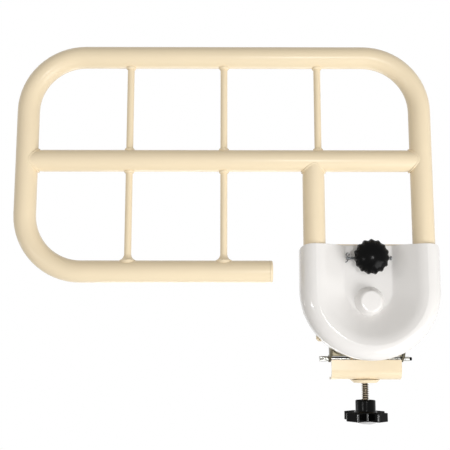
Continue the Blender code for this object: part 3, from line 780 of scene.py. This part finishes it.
def cover_section():
    """Points of (radius, depth, drop of the top edge), from the outer rim to the middle of the floor."""
    section = [(COVER_R, 15, 6), (COVER_R, 7, 6)]
    roll = COVER_R - LEG_X
    for degrees in [7.5 * step for step in range(12)] + [88.8, 90]:
        angle = math.radians(degrees)
        section.append((LEG_X + roll * math.cos(angle), CREST_Y * math.sin(angle), edge_drop(degrees)))
    crest, knee, foot = Vector((LEG_X, CREST_Y)), Vector((66.3, -16.6)), Vector((FOOT_R, FLOOR_Y))
    slope_top = knee + Vector((-0.81, 0.59)) * 7.8
    inside = [crest.lerp(knee, 0.05)] + swept(crest, knee, slope_top, 6)[1:]
    inside += [slope_top.lerp(foot, share) for share in (0.25, 0.5, 0.75)]
    slope_end = foot + Vector((2, -2 * math.tan(math.radians(36))))
    inside += swept(slope_end, foot, foot - Vector((2, 0)), 5)
    section += [(point.x, point.y, 0) for point in inside]
    return section + [(radius, FLOOR_Y, 0) for radius in (20, 12, 0)]


def make_cover_shell():
    chain = [at(-radius, y, COVER_TOP - drop) for radius, y, drop in cover_section()]
    cover = begin_chain("u_cover", chain)
    for height in (30, 0):
        extrude()
        scale(1, 1, 0, at(z=height))
    bpy.ops.mesh.spin(steps=24, angle=math.radians(-90), center=at(), axis=(0, -1, 0))
    close(cover)
    modify(cover, "MIRROR", use_axis=(True, False, False), use_clip=True, merge_threshold=1e-5)
    close(reopen(cover))
    front = min(cover.data.polygons, key=lambda face: face.center.y)
    if front.normal.y > 0:
        cover.data.flip_normals()
    return modify(cover, "SOLIDIFY", thickness=2.5 * MM, offset=-1, use_even_offset=True)


cover = make_cover_shell()
print(count(cover))

# %% [markdown]
# The floor has a round hole for the lock's sleeve. A hole through a finished wall is a job for a Boolean
# with a cylinder. After it, a bevel rounds the rim of the wall, which catches a thin line of light along
# the top edge. The dome is turned on its own and joined on: it stands on the floor with a sharp crease, as
# in the mould.

# %% Hole, rim and dome
def cut(piece, tool, operation="DIFFERENCE"):
    """Cuts a piece with a closed tool, and throws the tool away."""
    modify(piece, "BOOLEAN", operation=operation, object=tool, solver="EXACT")
    bpy.data.objects.remove(tool)


def drill(piece, radius, depth, place, vertices=32, **turned):
    """Drills a round hole, measured in millimetres, about a place."""
    settings = {"vertices": vertices, "radius": radius * MM, "depth": depth * MM, "location": place}
    cut(piece, close(begin("drill", bpy.ops.mesh.primitive_cylinder_add, **settings, **turned)))


def round_edges(piece, width, segments=3, angle=40, harden=True):
    """Bevels the edges past an angle, by a width in millimetres."""
    limit = {"limit_method": "ANGLE", "angle_limit": math.radians(angle)}
    modify(piece, "BEVEL", width=width * MM, segments=segments, harden_normals=harden, **limit)


def finish_cover():
    drill(cover, 9.4, 30, at(0, FLOOR_Y, LOCK_Z), 48, rotation=FORWARDS)
    round_edges(cover, 0.7, segments=2, angle=55, harden=False)
    profile = [(0, -5), (14.2, -5), (20.5, 8.4), (20.5, 9.5), (0, 9.5)]
    dome = turn("pivot_dome", rounded(profile, 1, 2.4, 6), at(z=PIVOT_Z), "Y", 64)
    join("u_cover", cover, dome)
    hand_over(smooth(cover, 40), WHITE_GLOSS, "rail", "front_cover")


finish_cover()

# %% [markdown]
# ## The scalloped locking knob
#
# The knob that locks the rail is a flattened ball with fifteen shallow flutes for the fingers. A sphere
# with six meridians to each flute gives enough points: the meridians in a flute are drawn in towards the
# axis, the deepest by eight per cent. The rings further in take a smaller and smaller share of that, so the
# flutes fade and the front stays smooth. The back is cut flat where the knob meets its washer.

# %% The fluted ball
FLUTES = 15
KNOB_R = 24
KNOB_HALF_DEPTH = 17
KNOB_Y = -14
KNOB_RINGS = ((22.9, 25, 1.0), (21.3, 22.9, 0.8), (19, 21.3, 0.5), (16, 19, 0.25))
FLUTE_DEPTHS = ((1, 0.02), (2, 0.06), (3, 0.08), (4, 0.06), (5, 0.02))


def make_lock_knob():
    centre = at(0, KNOB_Y, LOCK_Z)
    meridians = 6 * FLUTES
    knob = begin(
        "fluted_lock_knob",
        bpy.ops.mesh.primitive_uv_sphere_add,
        segments=meridians,
        ring_count=30,
        radius=KNOB_R * MM,
        location=centre,
        rotation=FORWARDS,
    )
    scale(1, KNOB_HALF_DEPTH / KNOB_R, 1, centre)
    step = math.tau / meridians

    def meridian(p):
        return round((math.atan2(p.z - centre.z, p.x - centre.x) - math.pi / 2) / step)

    def reach(p):
        return math.hypot(p.x - centre.x, p.z - centre.z)

    for phase, depth in FLUTE_DEPTHS:
        for inner, outer, share in KNOB_RINGS:
            pick(
                knob,
                "VERT",
                lambda p: meridian(p) % 6 == phase and inner * MM < reach(p) <= outer * MM,
            )
            scale(1 - depth * share, 1, 1 - depth * share, centre)
    slice_off(at(y=-0.1), (0, 1, 0))
    hand_over(close(knob, 60), BLACK_NYLON, "lock_knob", "lock_knob")


make_lock_knob()

# %% [markdown]
# ## The lock's washer and cross pin
#
# Behind the knob a bright washer takes the rub. A cross pin goes through the stud and lies in the sleeve's
# slot, so that the stud can't turn with the knob. The pin's round head shows to the right of the knob. Both
# are turned.

# %% Washer and cross pin
CROSS_PIN_Y = 4.2

profile = [(5.4, 0.2), (5.4, 1.7), (9.5, 1.7), (9.5, 0.2), (5.4, 0.2)]
washer = turn("lock_knob_washer", rounded(profile, 3, 0.3), at(z=LOCK_Z), "Y")
hand_over(washer, BRIGHT_ZINC, "lock_washer", "knob_washer")

profile = [(0, 31), (3, 31), (3, 29.2), (1.9, 29.2), (1.9, -31.2), (0, -31.2)]
profile = rounded(rounded(profile, 4, 0.6), 1, 1.2)
pin = turn("lock_cross_pin", profile, at(0, CROSS_PIN_Y, LOCK_Z), "X", 32)
hand_over(pin, DULL_STEEL, "rail", "cross_pin")

# %% [markdown]
# ## The split pin
#
# On the left a split pin holds the cross pin: a thin wire bent into an eye, with a leg that hangs from it.
# It is made like the tube, by a ring that travels. It is spun most of the way round the eye, and then
# steered at each bend of the leg, turned about its own middle before it goes on.

# %% Split pin
EYE_X, EYE_Z = -28.4, 47.8
EYE_R = 2.1
WIRE_R = 0.7
WIRE_BENDS = ((-28, 1.2, -1.5), (-27, 0, -4.2), (-37, -1.2, -1.6), (-16, -2.4, -1.8))


def steer(degrees):
    """Turns the selected ring anticlockwise, seen from the front, about its own middle."""
    work = bmesh.from_edit_mesh(bpy.context.object.data)
    points = [vert.co for vert in work.verts if vert.select]
    middle = sum(points, Vector()) / len(points)
    bpy.ops.transform.rotate(value=math.radians(degrees), orient_axis="Y", center_override=middle)


def make_split_pin():
    start = math.radians(-50)
    place = at(EYE_X + EYE_R * math.cos(start), CROSS_PIN_Y, EYE_Z + EYE_R * math.sin(start))
    wire = ring("bent_split_pin", WIRE_R, place, 12, fill_type="NGON", rotation=(0, -start, 0))
    eye = at(EYE_X, CROSS_PIN_Y, EYE_Z)
    bpy.ops.mesh.spin(steps=16, angle=math.radians(-285), center=eye, axis=(0, -1, 0))
    for degrees, x, z in WIRE_BENDS:
        steer(degrees)
        extrude(x=x, z=z)
    hand_over(close(wire, 60), DULL_STEEL, "rail", "split_pin")


make_split_pin()

# %% [markdown]
# ## Sheet metal and pads: softened copies
#
# The plates behind the rail are cut from sheet, and the CAD already has their outlines, holes and slots.
# Only their edges are too sharp: a coated edge is round. So each plate's mesh is copied, its loose
# triangles are merged into whole faces, and a bevel with hardened normals rounds the edges while the flats
# stay flat. The hook and the side plates take the plating that is darkened as painted shade, not the cream
# coat, and the two rubber pads are softened in the same way.

# %% Softened copies of CAD nodes
SOFTENED = (
    ("pivot_plate", "rail_pivot_plate", 0.7, CREAM_COAT, "rail"),
    ("swivel_plate", "fixed_swivel_plate", 0.9, CREAM_COAT, "bracket"),
    ("jaw_lug_left", "lug_left", 0.7, CREAM_COAT, "jaw"),
    ("jaw_lug_right", "lug_right", 0.7, CREAM_COAT, "jaw"),
    # The ears and the hook: plating darkened as painted shade behind the cover.
    ("left_ear", "ear_left", 0.7, SHADE_DARKENED_ZINC, "bracket"),
    ("right_ear", "ear_right", 0.7, SHADE_DARKENED_ZINC, "bracket"),
    ("hook_bracket", "bed_hook", 1.0, SHADE_DARKENED_ZINC, "bracket"),
    ("hook_pad", "pad_under_hook", 0.8, RUBBER, "bracket"),
    ("web_pad", "pad_behind_web", 0.8, RUBBER, "bracket"),
)


def soften(node, name, width, finish, body):
    """Hands over a copy of a CAD node's mesh with its edges rounded by a width in millimetres."""
    copy = bpy.data.objects.new(name, frame["nodes"][node].data.copy())
    copy.data.name = name
    bpy.context.scene.collection.objects.link(copy)
    reopen(copy)
    bpy.ops.mesh.remove_doubles(threshold=1e-6)
    bpy.ops.mesh.dissolve_limited(angle_limit=math.radians(1))
    close(copy)
    round_edges(copy, width)
    hand_over(copy, finish, body, node)


for row in SOFTENED:
    soften(*row)

# %% [markdown]
# ## The jaw
#
# The jaw swings below the hook. It is one sheet, 3 mm thick, with a generous bend between its front and its
# flange. The chain is the sheet's section, and one extrusion gives its width. Two corners at the back are
# cut off with bisect, Solidify gives the sheet its thickness, and a bore lets the clamp screw through.

# %% Jaw plate
SHEET = 3
JAW_HALF_WIDTH = 48.2
JAW_TOP_Z = -93.8
JAW_BEND_R, JAW_BEND_Y, JAW_BEND_Z = 12, 53.5, -107.4
FLANGE_Z, FLANGE_END_Y = -119.4, 82


def make_jaw():
    arc = []
    for step in range(11):
        angle = math.pi + math.radians(9 * step)
        arc.append((JAW_BEND_Y + JAW_BEND_R * math.cos(angle), JAW_BEND_Z + JAW_BEND_R * math.sin(angle)))
    section = [(JAW_BEND_Y - JAW_BEND_R, JAW_TOP_Z)] + arc + [(FLANGE_END_Y, FLANGE_Z)]
    jaw = begin_chain("clamp_jaw", [at(-JAW_HALF_WIDTH, y, z) for y, z in section])
    extrude(x=2 * JAW_HALF_WIDTH)
    for side in (-1, 1):
        slice_off(at(side * 30, 84, 0), (side, 1, 0), fill=False)
    close(jaw)
    modify(jaw, "SOLIDIFY", thickness=SHEET * MM, offset=0, use_even_offset=True)
    drill(jaw, 5.4, 20, at(0, CLAMP_Y, FLANGE_Z))
    round_edges(jaw, 0.8)
    hand_over(jaw, CREAM_COAT, "jaw", "jaw_plate")


make_jaw()

# %% [markdown]
# Under the flange sits the threaded boss, wider than it is deep. It is turned as a round cone, pressed to
# an oval in edit mode and then bored, so that the bore stays round. In front, a dark gap remains between
# the boss and the jaw's bend. A thin bead, half of an oval ring, lies in it as the weld.

# %% Boss and its weld
BOSS_TOP_Z = FLANGE_Z - SHEET / 2 - 0.3
BOSS_HEIGHT = 4.2
BOSS_OVAL = 0.7


def make_boss():
    low = BOSS_TOP_Z - BOSS_HEIGHT
    profile = rounded([(0, BOSS_TOP_Z), (21, BOSS_TOP_Z), (16.8, low), (0, low)], 2, 0.9)
    boss = turn("threaded_boss", rounded(profile, 1, 0.4, 2), at(0, CLAMP_Y, 0), "Z", 64)
    reopen(boss)
    scale(1, BOSS_OVAL, 1, at(0, CLAMP_Y, 0))
    close(boss)
    drill(boss, 5.3, 20, at(0, CLAMP_Y, BOSS_TOP_Z))
    hand_over(smooth(boss), CREAM_COAT, "jaw", "jaw_boss")


def make_boss_weld():
    bead = begin_bead("boss_weld_bead", 17.6, 0.7, 60)
    scale(1, BOSS_OVAL, 1)
    bpy.ops.transform.translate(value=at(0, CLAMP_Y, FLANGE_Z - 0.4))
    slice_off(at(y=52), (0, 1, 0))
    hand_over(close(bead, 60), CREAM_COAT, "jaw")


make_boss()
make_boss_weld()

# %% [markdown]
# ## The hinge pin
#
# The jaw hangs on a long pin. Its left end is a knurled grip, and the right end wears a small black cap.
# For the knurl every second line of points along the grip is drawn in by nine hundredths, which gives it
# teeth.

# %% Pin and cap
PIN_Y, PIN_Z = 48.5, -92.5
PIN_STEPS = 48


def make_hinge_pin():
    grip = [(3.6, x) for x in (-52, -54.5, -55, -63.4, -64)]
    profile = [(0, 60.5), (3, 60.5), (3, -52), *grip, (0, -64)]
    centre = at(0, PIN_Y, PIN_Z)
    profile = rounded(rounded(profile, 7, 0.3, 2), 1, 0.4, 2)
    pin = turn("jaw_hinge_pin", profile, centre, "X", PIN_STEPS)
    reopen(pin)
    step = math.tau / PIN_STEPS
    left, right = at(-63.6).x, at(-54.8).x
    teeth = pick(
        pin,
        "VERT",
        lambda p: left < p.x < right and round(math.atan2(p.y - centre.y, p.z - centre.z) / step) % 2 == 0,
    )
    scale(1, 0.91, 0.91, centre)
    print("knurl points drawn in:", teeth)
    hand_over(close(pin, 30), BRIGHT_ZINC, "bracket", "hinge_pin")


make_hinge_pin()

profile = [(0, 64), (2.4, 64), (2.4, 60.8), (0, 60.8)]
cap = turn("hinge_pin_cap", rounded(profile, 1, 0.8), at(0, PIN_Y, PIN_Z), "X", 32)
hand_over(cap, BLACK_NYLON, "bracket", "pin_cap")

# %% [markdown]
# ## The clamp screw
#
# The screw is a rod of 10 mm with a coarse thread that rises 3 mm in each turn. A bump could only hint at
# it, so the thread is geometry: the Screw modifier winds its section up the rod, one turn after another.
# Two cuts with filling close its ends, which hide in the knob and in the pressure pad, and a plain tip
# stands on top.

# %% Threaded rod
PITCH = 3
THREAD_TURNS = 29
THREAD_START_Z = -172
THREAD_LOW_Z, THREAD_HIGH_Z = -170, -90.5


def make_clamp_screw():
    section = [(3.6, 0), (3.6, 0.8), (5.0, 1.25), (5.0, 2.05), (3.6, 2.5), (3.6, PITCH)]
    thread = begin_chain("clamp_thread", [Vector((radius, 0, height)) * MM for radius, height in section])
    bpy.ops.object.mode_set(mode="OBJECT")
    modify(
        thread,
        "SCREW",
        angle=math.tau,
        screw_offset=PITCH * MM,
        iterations=THREAD_TURNS,
        steps=24,
        render_steps=24,
        use_merge_vertices=True,
        merge_threshold=1e-6,
    )
    put(thread, 0, CLAMP_Y, THREAD_START_Z)
    reopen(thread)
    for height, direction in ((THREAD_HIGH_Z, 1), (THREAD_LOW_Z, -1)):
        slice_off(at(z=height), (0, 0, direction))
    close(thread, 50)
    profile = [(0, -85.5), (3, -85.5), (3, -89.2), (4.3, -90.6), (0, -90.6)]
    tip = turn("tip", profile, at(0, CLAMP_Y, 0), "Z", 24)
    hand_over(join("clamp_thread", thread, tip), THREADED_ZINC, "clamp_screw", "clamp_screw")


make_clamp_screw()

# %% [markdown]
# ## The four-armed knob
#
# A knob with four blunt arms turns the clamp screw. A block is the start: its four sides are extruded into
# arms, the flat faces are dissolved into one, the upright edges get a generous bevel and the rims a fine
# one, and the whole is turned to the angle at which the screw was left. A turned hub is joined on top.
# Polished nylon covers it, except where faces are picked by their direction and size: upward faces are
# grained, and the small faces of the arms' upright corners get a much stronger reflection as a painted
# highlight.

# %% Arms and hub
ARM_END = 30.3
ARM_WIDTH = 21.6
ARM_HEIGHT = 11.6
ARM_MIDDLE_Z = -171.1
ARM_TURN = 42
CORNER_AREA = 10


def make_arms(centre):
    """A cross of four arms about a centre, its edges bevelled, turned as the screw was left."""
    arms = begin("four_arm_knob", bpy.ops.mesh.primitive_cube_add, size=MM, location=centre)
    scale(ARM_WIDTH, ARM_WIDTH, ARM_HEIGHT, centre)
    reach = ARM_END - ARM_WIDTH / 2
    for x, y in ((1, 0), (0, 1), (-1, 0), (0, -1)):
        side = centre + Vector((x, y, 0)) * ARM_WIDTH / 2 * MM
        pick(arms, "FACE", lambda p: (p - side).length < MM)
        extrude(x=x * reach, y=y * reach)
    bpy.ops.mesh.select_all(action="SELECT")
    bpy.ops.mesh.dissolve_limited(angle_limit=math.radians(1))
    pick(arms, "EDGE", lambda p: abs(p.z - centre.z) < 0.1 * MM)
    bpy.ops.mesh.bevel(offset=2.2 * MM, segments=6)
    pick(arms, "EDGE", lambda p: abs(p.z - centre.z) > (ARM_HEIGHT / 2 - 0.1) * MM)
    bpy.ops.mesh.bevel(offset=0.9 * MM, segments=3)
    close(arms, 30)
    turned_to = Matrix.Rotation(math.radians(ARM_TURN), 4, "Z")
    arms.data.transform(Matrix.Translation(centre) @ turned_to @ Matrix.Translation(-centre))
    return arms


def make_cross_knob():
    centre = at(0, CLAMP_Y, ARM_MIDDLE_Z)
    arms = make_arms(centre)
    profile = [(0, -149.2), (13.9, -149.2), (13.9, -163.8), (16, -165.4), (16, -167), (0, -167)]
    hub = turn("hub", rounded(rounded(profile, 2, 1.6), 1, 1.4), at(0, CLAMP_Y, 0), "Z", 48)
    knob = join("four_arm_knob", arms, hub)
    hand_over(knob, POLISHED_NYLON, "clamp_screw", "cross_knob")
    knob.data.materials.append(GRAINED_NYLON)
    knob.data.materials.append(PAINTED_HIGHLIGHT_NYLON)
    # Small upright corner faces get the strong reflection that paints highlight lines; the print below
    # counts them.
    for face in knob.data.polygons:
        in_arms = abs(face.center.z - centre.z) < ARM_HEIGHT / 4 * MM
        if face.normal.z > 0.8:
            face.material_index = 1
        elif in_arms and abs(face.normal.z) < 0.1 and face.area < CORNER_AREA * MM * MM:
            face.material_index = 2
    print("worn faces:", len([face for face in knob.data.polygons if face.material_index == 2]))


make_cross_knob()

# %% [markdown]
# ## Cap and pressure pad
#
# The pale cap that closes the knob from below is turned too. At the other end of the screw a plated cup
# carries a rubber disc, which presses against the bed's rail from below. The cup rides with the pad,
# because it slides with the screw but doesn't turn.

# %% Cap and pressure pad
knob_low = ARM_MIDDLE_Z - ARM_HEIGHT / 2
profile = [(0, -0.3), (15.5, -0.3), (15.5, -1.2), (13.4, -3.4), (8, -4.7), (0, -5.2)]
profile = [(radius, knob_low + height) for radius, height in profile]
cap = turn("cross_knob_cap", rounded(rounded(profile, 3, 2.0), 2, 0.6), at(0, CLAMP_Y, 0), "Z")
hand_over(cap, GREY_CAP, "clamp_screw", "knob_cap")

profile = [(0, -84.2), (11, -84.2), (11, -87.9), (3.3, -87.9), (3.3, -85.2), (0, -85.2)]
cup = turn("pressure_cup", rounded(profile, 2, 0.8), at(0, CLAMP_Y, 0), "Z")
hand_over(cup, BRIGHT_ZINC, "clamp_pad", "pad_cup")

profile = [(0, -81.9), (11, -81.9), (11, -83.9), (0, -83.9)]
rubber = turn("pressure_rubber", rounded(profile, 1, 0.6), at(0, CLAMP_Y, 0), "Z")
hand_over(rubber, RUBBER, "clamp_pad", "pad_rubber")

# %% [markdown]
# ## Pivot bolt and stud head
#
# From behind, the hexagon head of the pivot bolt and the stud's round head show. A hexagon head has its
# corners turned off at 30 degrees: the prism is cut by a turned cone, with a Boolean that keeps what both
# share.

# %% Pivot bolt and lock stud
HEX_CORNER_R = 10.97
HEX_HEIGHT = 7.5
HEX_Y = 25.9


def make_pivot_bolt():
    head = begin(
        "pivot_hex_bolt",
        bpy.ops.mesh.primitive_cylinder_add,
        vertices=6,
        radius=HEX_CORNER_R * MM,
        depth=HEX_HEIGHT * MM,
        location=at(0, HEX_Y + HEX_HEIGHT / 2, PIVOT_Z),
        rotation=FORWARDS,
    )
    close(head)
    profile = [(0, 34), (9.3, 33.4), (11.6, 32.1), (11.6, 24), (0, 24)]
    cut(head, turn("limit", profile, at(z=PIVOT_Z), "Y", 48), "INTERSECT")
    shank = turn("shank", rounded([(0, -1), (6, -1), (6, 28), (0, 28)], 1, 0.8), at(z=PIVOT_Z), "Y", 32)
    join("pivot_hex_bolt", head, shank)
    hand_over(smooth(head, 25), BRIGHT_ZINC, "bracket", "pivot_bolt")


make_pivot_bolt()

profile = [(0, 30.9), (10, 30.9), (10, 25.9), (5, 25.9), (5, -17), (0, -17)]
stud = turn("lock_slot_stud", rounded(rounded(profile, 4, 0.6), 1, 1.4), at(z=LOCK_Z), "Y", 40)
hand_over(stud, BRIGHT_ZINC, "rail", "lock_stud")

# %% [markdown]
# ## The cover's screws
#
# Four small screws hold the cover from behind. One is turned with a domed head, two thin blocks cut a cross
# into it, and it is copied to the other places: two beside the stud and two in the U-bend.

# %% Cover screws
SCREW_X, SCREW_Z = 46, 40
SCREW_HEAD_Y = 21.0


def make_cover_screws():
    profile = [(0, 20.7), (3.5, 20.7), (3.5, 18.6), (1.5, 18.6), (1.5, 6), (0, 6)]
    screw = turn("cover_screw", rounded(profile, 1, 1.5), at(SCREW_X, 0, SCREW_Z), "Y", 24)
    head = at(SCREW_X, SCREW_HEAD_Y, SCREW_Z)
    for size in ((2.6, 3, 0.7), (0.7, 3, 2.6)):
        cutter = begin("cross", bpy.ops.mesh.primitive_cube_add, size=MM, location=head)
        scale(*size, head)
        cut(screw, close(cutter))
    smooth(screw, 30)
    low = math.radians(-55)
    low_x, low_z = SCREW_X * math.cos(low), SCREW_X * math.sin(low)
    places = ((-SCREW_X, SCREW_Z), (SCREW_X, SCREW_Z), (-low_x, low_z), (low_x, low_z))
    for number, (x, z) in enumerate(places, 1):
        copy = move(duplicate(screw, f"cross_head_screw_{number}"), x - SCREW_X, 0, z - SCREW_Z)
        hand_over(copy, BRIGHT_ZINC, "rail", f"cover_screw_{number}")
    bpy.data.objects.remove(screw)


make_cover_screws()

# %% [markdown]
# ## What stays as the CAD made it
#
# The bush, the sleeve, the nut and the washers are out of sight behind the cover, and their solids are
# right as they are. They keep their shape and only get their finish.

# %% Finishes for the CAD nodes that stay
KEPT = {
    "pivot_bush": MILKY_NYLON,
    "swivel_washer": MILKY_NYLON,
    "lock_sleeve": BRIGHT_ZINC,
    "pivot_washer": BRIGHT_ZINC,
    "pivot_nut": BRIGHT_ZINC,
    "knob_insert": BRASS,
}
for name, finish in KEPT.items():
    node = frame["nodes"][name]
    node.data.materials.clear()
    node.data.materials.append(finish)
shown = [name for name, node in frame["nodes"].items() if not node.hide_render]
print("CAD nodes still shown:", ", ".join(sorted(shown)))

# %% [markdown]
# ## World and floor
#
# The rail hangs in the air here, as it would on a bed, so a pale floor lies well below it, deep enough for
# the rail to swing. The background is white only where it is seen or mirrored: Light Path tells camera,
# glossy and transmission rays from the rest. The world's real light is weaker and a little warm, so that
# pale paint keeps its tone. On the floor the white is mixed with the lit surface, and fades in with the
# distance, so the floor keeps the object's shadow and still meets the white horizon without a line.

# %% World and floor
def white_where_seen(tree, light, white, strength):
    """Mixes white over a light, by a strength, for camera, glossy and transmission rays."""
    path = add_node(tree, "ShaderNodeLightPath")
    seen = path.outputs["Is Camera Ray"]
    for ray in ("Is Glossy Ray", "Is Transmission Ray"):
        seen = add_node(tree, "ShaderNodeMath", seen, path.outputs[ray], operation="MAXIMUM").outputs[0]
    share = add_node(tree, "ShaderNodeMath", seen, strength, operation="MULTIPLY").outputs[0]
    return add_node(tree, "ShaderNodeMixShader", share, light.outputs[0], white.outputs[0]).outputs[0]


def make_world():
    world = bpy.data.worlds.new("studio")
    bpy.context.scene.world = world
    world.use_nodes = True
    tree = world.node_tree
    light = tree.nodes["Background"]
    light.inputs["Color"].default_value = (1, 0.965, 0.91, 1)
    light.inputs["Strength"].default_value = 0.40
    white = add_node(tree, "ShaderNodeBackground", Color=(1, 1, 1, 1), Strength=1.0)
    surface = white_where_seen(tree, light, white, 1.0)
    tree.links.new(surface, tree.nodes["World Output"].inputs["Surface"])


FLOOR_Z = -1.9
FLOOR_SIZE = 40
FADE = {"From_Min": 1.6, "From_Max": 3.6, "To_Min": 0.82, "To_Max": 1.0}


def make_floor():
    plane = bpy.ops.mesh.primitive_plane_add
    floor = close(begin("studio_floor", plane, size=FLOOR_SIZE, location=(0, 0, FLOOR_Z)))
    pale = (0.85, 0.85, 0.85, 1)
    made, tree, shader = new_finish("pale_floor", Base_Color=pale, Roughness=0.9, Specular_IOR_Level=0.0)
    place = add_node(tree, "ShaderNodeTexCoord").outputs["Object"]
    distance = add_node(tree, "ShaderNodeVectorMath", place, operation="LENGTH").outputs["Value"]
    far = add_node(tree, "ShaderNodeMapRange", Value=distance, **FADE).outputs["Result"]
    glow = add_node(tree, "ShaderNodeEmission", Strength=1.0)
    surface = white_where_seen(tree, shader, glow, far)
    tree.links.new(surface, tree.nodes["Material Output"].inputs["Surface"])
    floor.data.materials.append(made)


make_world()
make_floor()
print("floor in metres below the hook:", -FLOOR_Z)

# %% [markdown]
# ## Lamps
#
# Five soft lamps give the shading of the photograph, where the tubes are lightest below and to the right.
# The large key lamp stands low on the right, big enough for its reflection in the gloss to stay gentle. A
# long thin lamp fills from the left and draws a line along rounded edges. A weak one behind on the left
# lifts the outer edge, a small one in front puts a point of light on flat walls, and a low one at the back
# keeps the undersides and the views from behind from going dull.

# %% Five lamps
AIM = Vector((-0.15, -0.065, 0.08))
LAMPS = (
    ("key_right_low", (1.30, -1.283, -1.394), (1.6, 1.6), 42),
    ("fill_left", (-1.74, -1.94, -0.40), (0.7, 0.12), 5),
    ("rim_left", (-2.44, 0.88, -0.40), (0.3, 0.2), 1.5),
    ("front_small", (0.12, -1.85, -0.07), (0.16, 0.16), 7),
    ("back_low", (-0.2, 2.2, -1.3), (1.2, 1.2), 13),
)


def soft_lamp(name, place, size, watts):
    """Adds a rectangular lamp that looks at the middle of the rail."""
    bpy.ops.object.light_add(type="AREA", location=place)
    lamp = bpy.context.object
    lamp.name = lamp.data.name = name
    lamp.data.shape = "RECTANGLE"
    lamp.data.size, lamp.data.size_y = size
    lamp.data.energy = watts
    lamp.rotation_euler = (AIM - Vector(place)).to_track_quat("-Z", "Y").to_euler()
    print(name, "at", round((AIM - Vector(place)).length, 2), "m with", watts, "W")


for row in LAMPS:
    soft_lamp(*row)

# %% [markdown]
# ## Camera
#
# The camera stands a little below the rail's middle and looks up by eight and a half degrees, as the
# photograph does. A lens of 60.8 mm on a 36 mm sensor gives the same frame. Pitch, yaw and roll are written
# as three axes, because the order of turns then needs no thought.

# %% Camera
CAMERA_PLACE = Vector((-0.1964, -1.08564, -0.03362))
PITCH_UP, YAW, ROLL = (math.radians(angle) for angle in (8.478, 0.072, 0.066))


def make_camera():
    level_share = math.cos(PITCH_UP)
    forward = Vector((math.sin(YAW) * level_share, math.cos(YAW) * level_share, math.sin(PITCH_UP)))
    level = Vector((math.cos(YAW), -math.sin(YAW), 0))
    upright = level.cross(forward)
    right = math.cos(ROLL) * level + math.sin(ROLL) * upright
    up = -math.sin(ROLL) * level + math.cos(ROLL) * upright
    bpy.ops.object.camera_add()
    camera = bpy.context.object
    camera.name = camera.data.name = "portrait_camera"
    camera.data.lens = 60.8
    camera.data.sensor_width = 36
    turned_to = Matrix((right, up, -forward)).transposed().to_4x4()
    turned_to.translation = CAMERA_PLACE
    camera.matrix_world = turned_to
    bpy.context.scene.camera = camera
    return camera


camera = make_camera()
bpy.context.scene.view_settings.view_transform = "Standard"
print("camera:", [round(value, 4) for value in camera.matrix_world.translation])
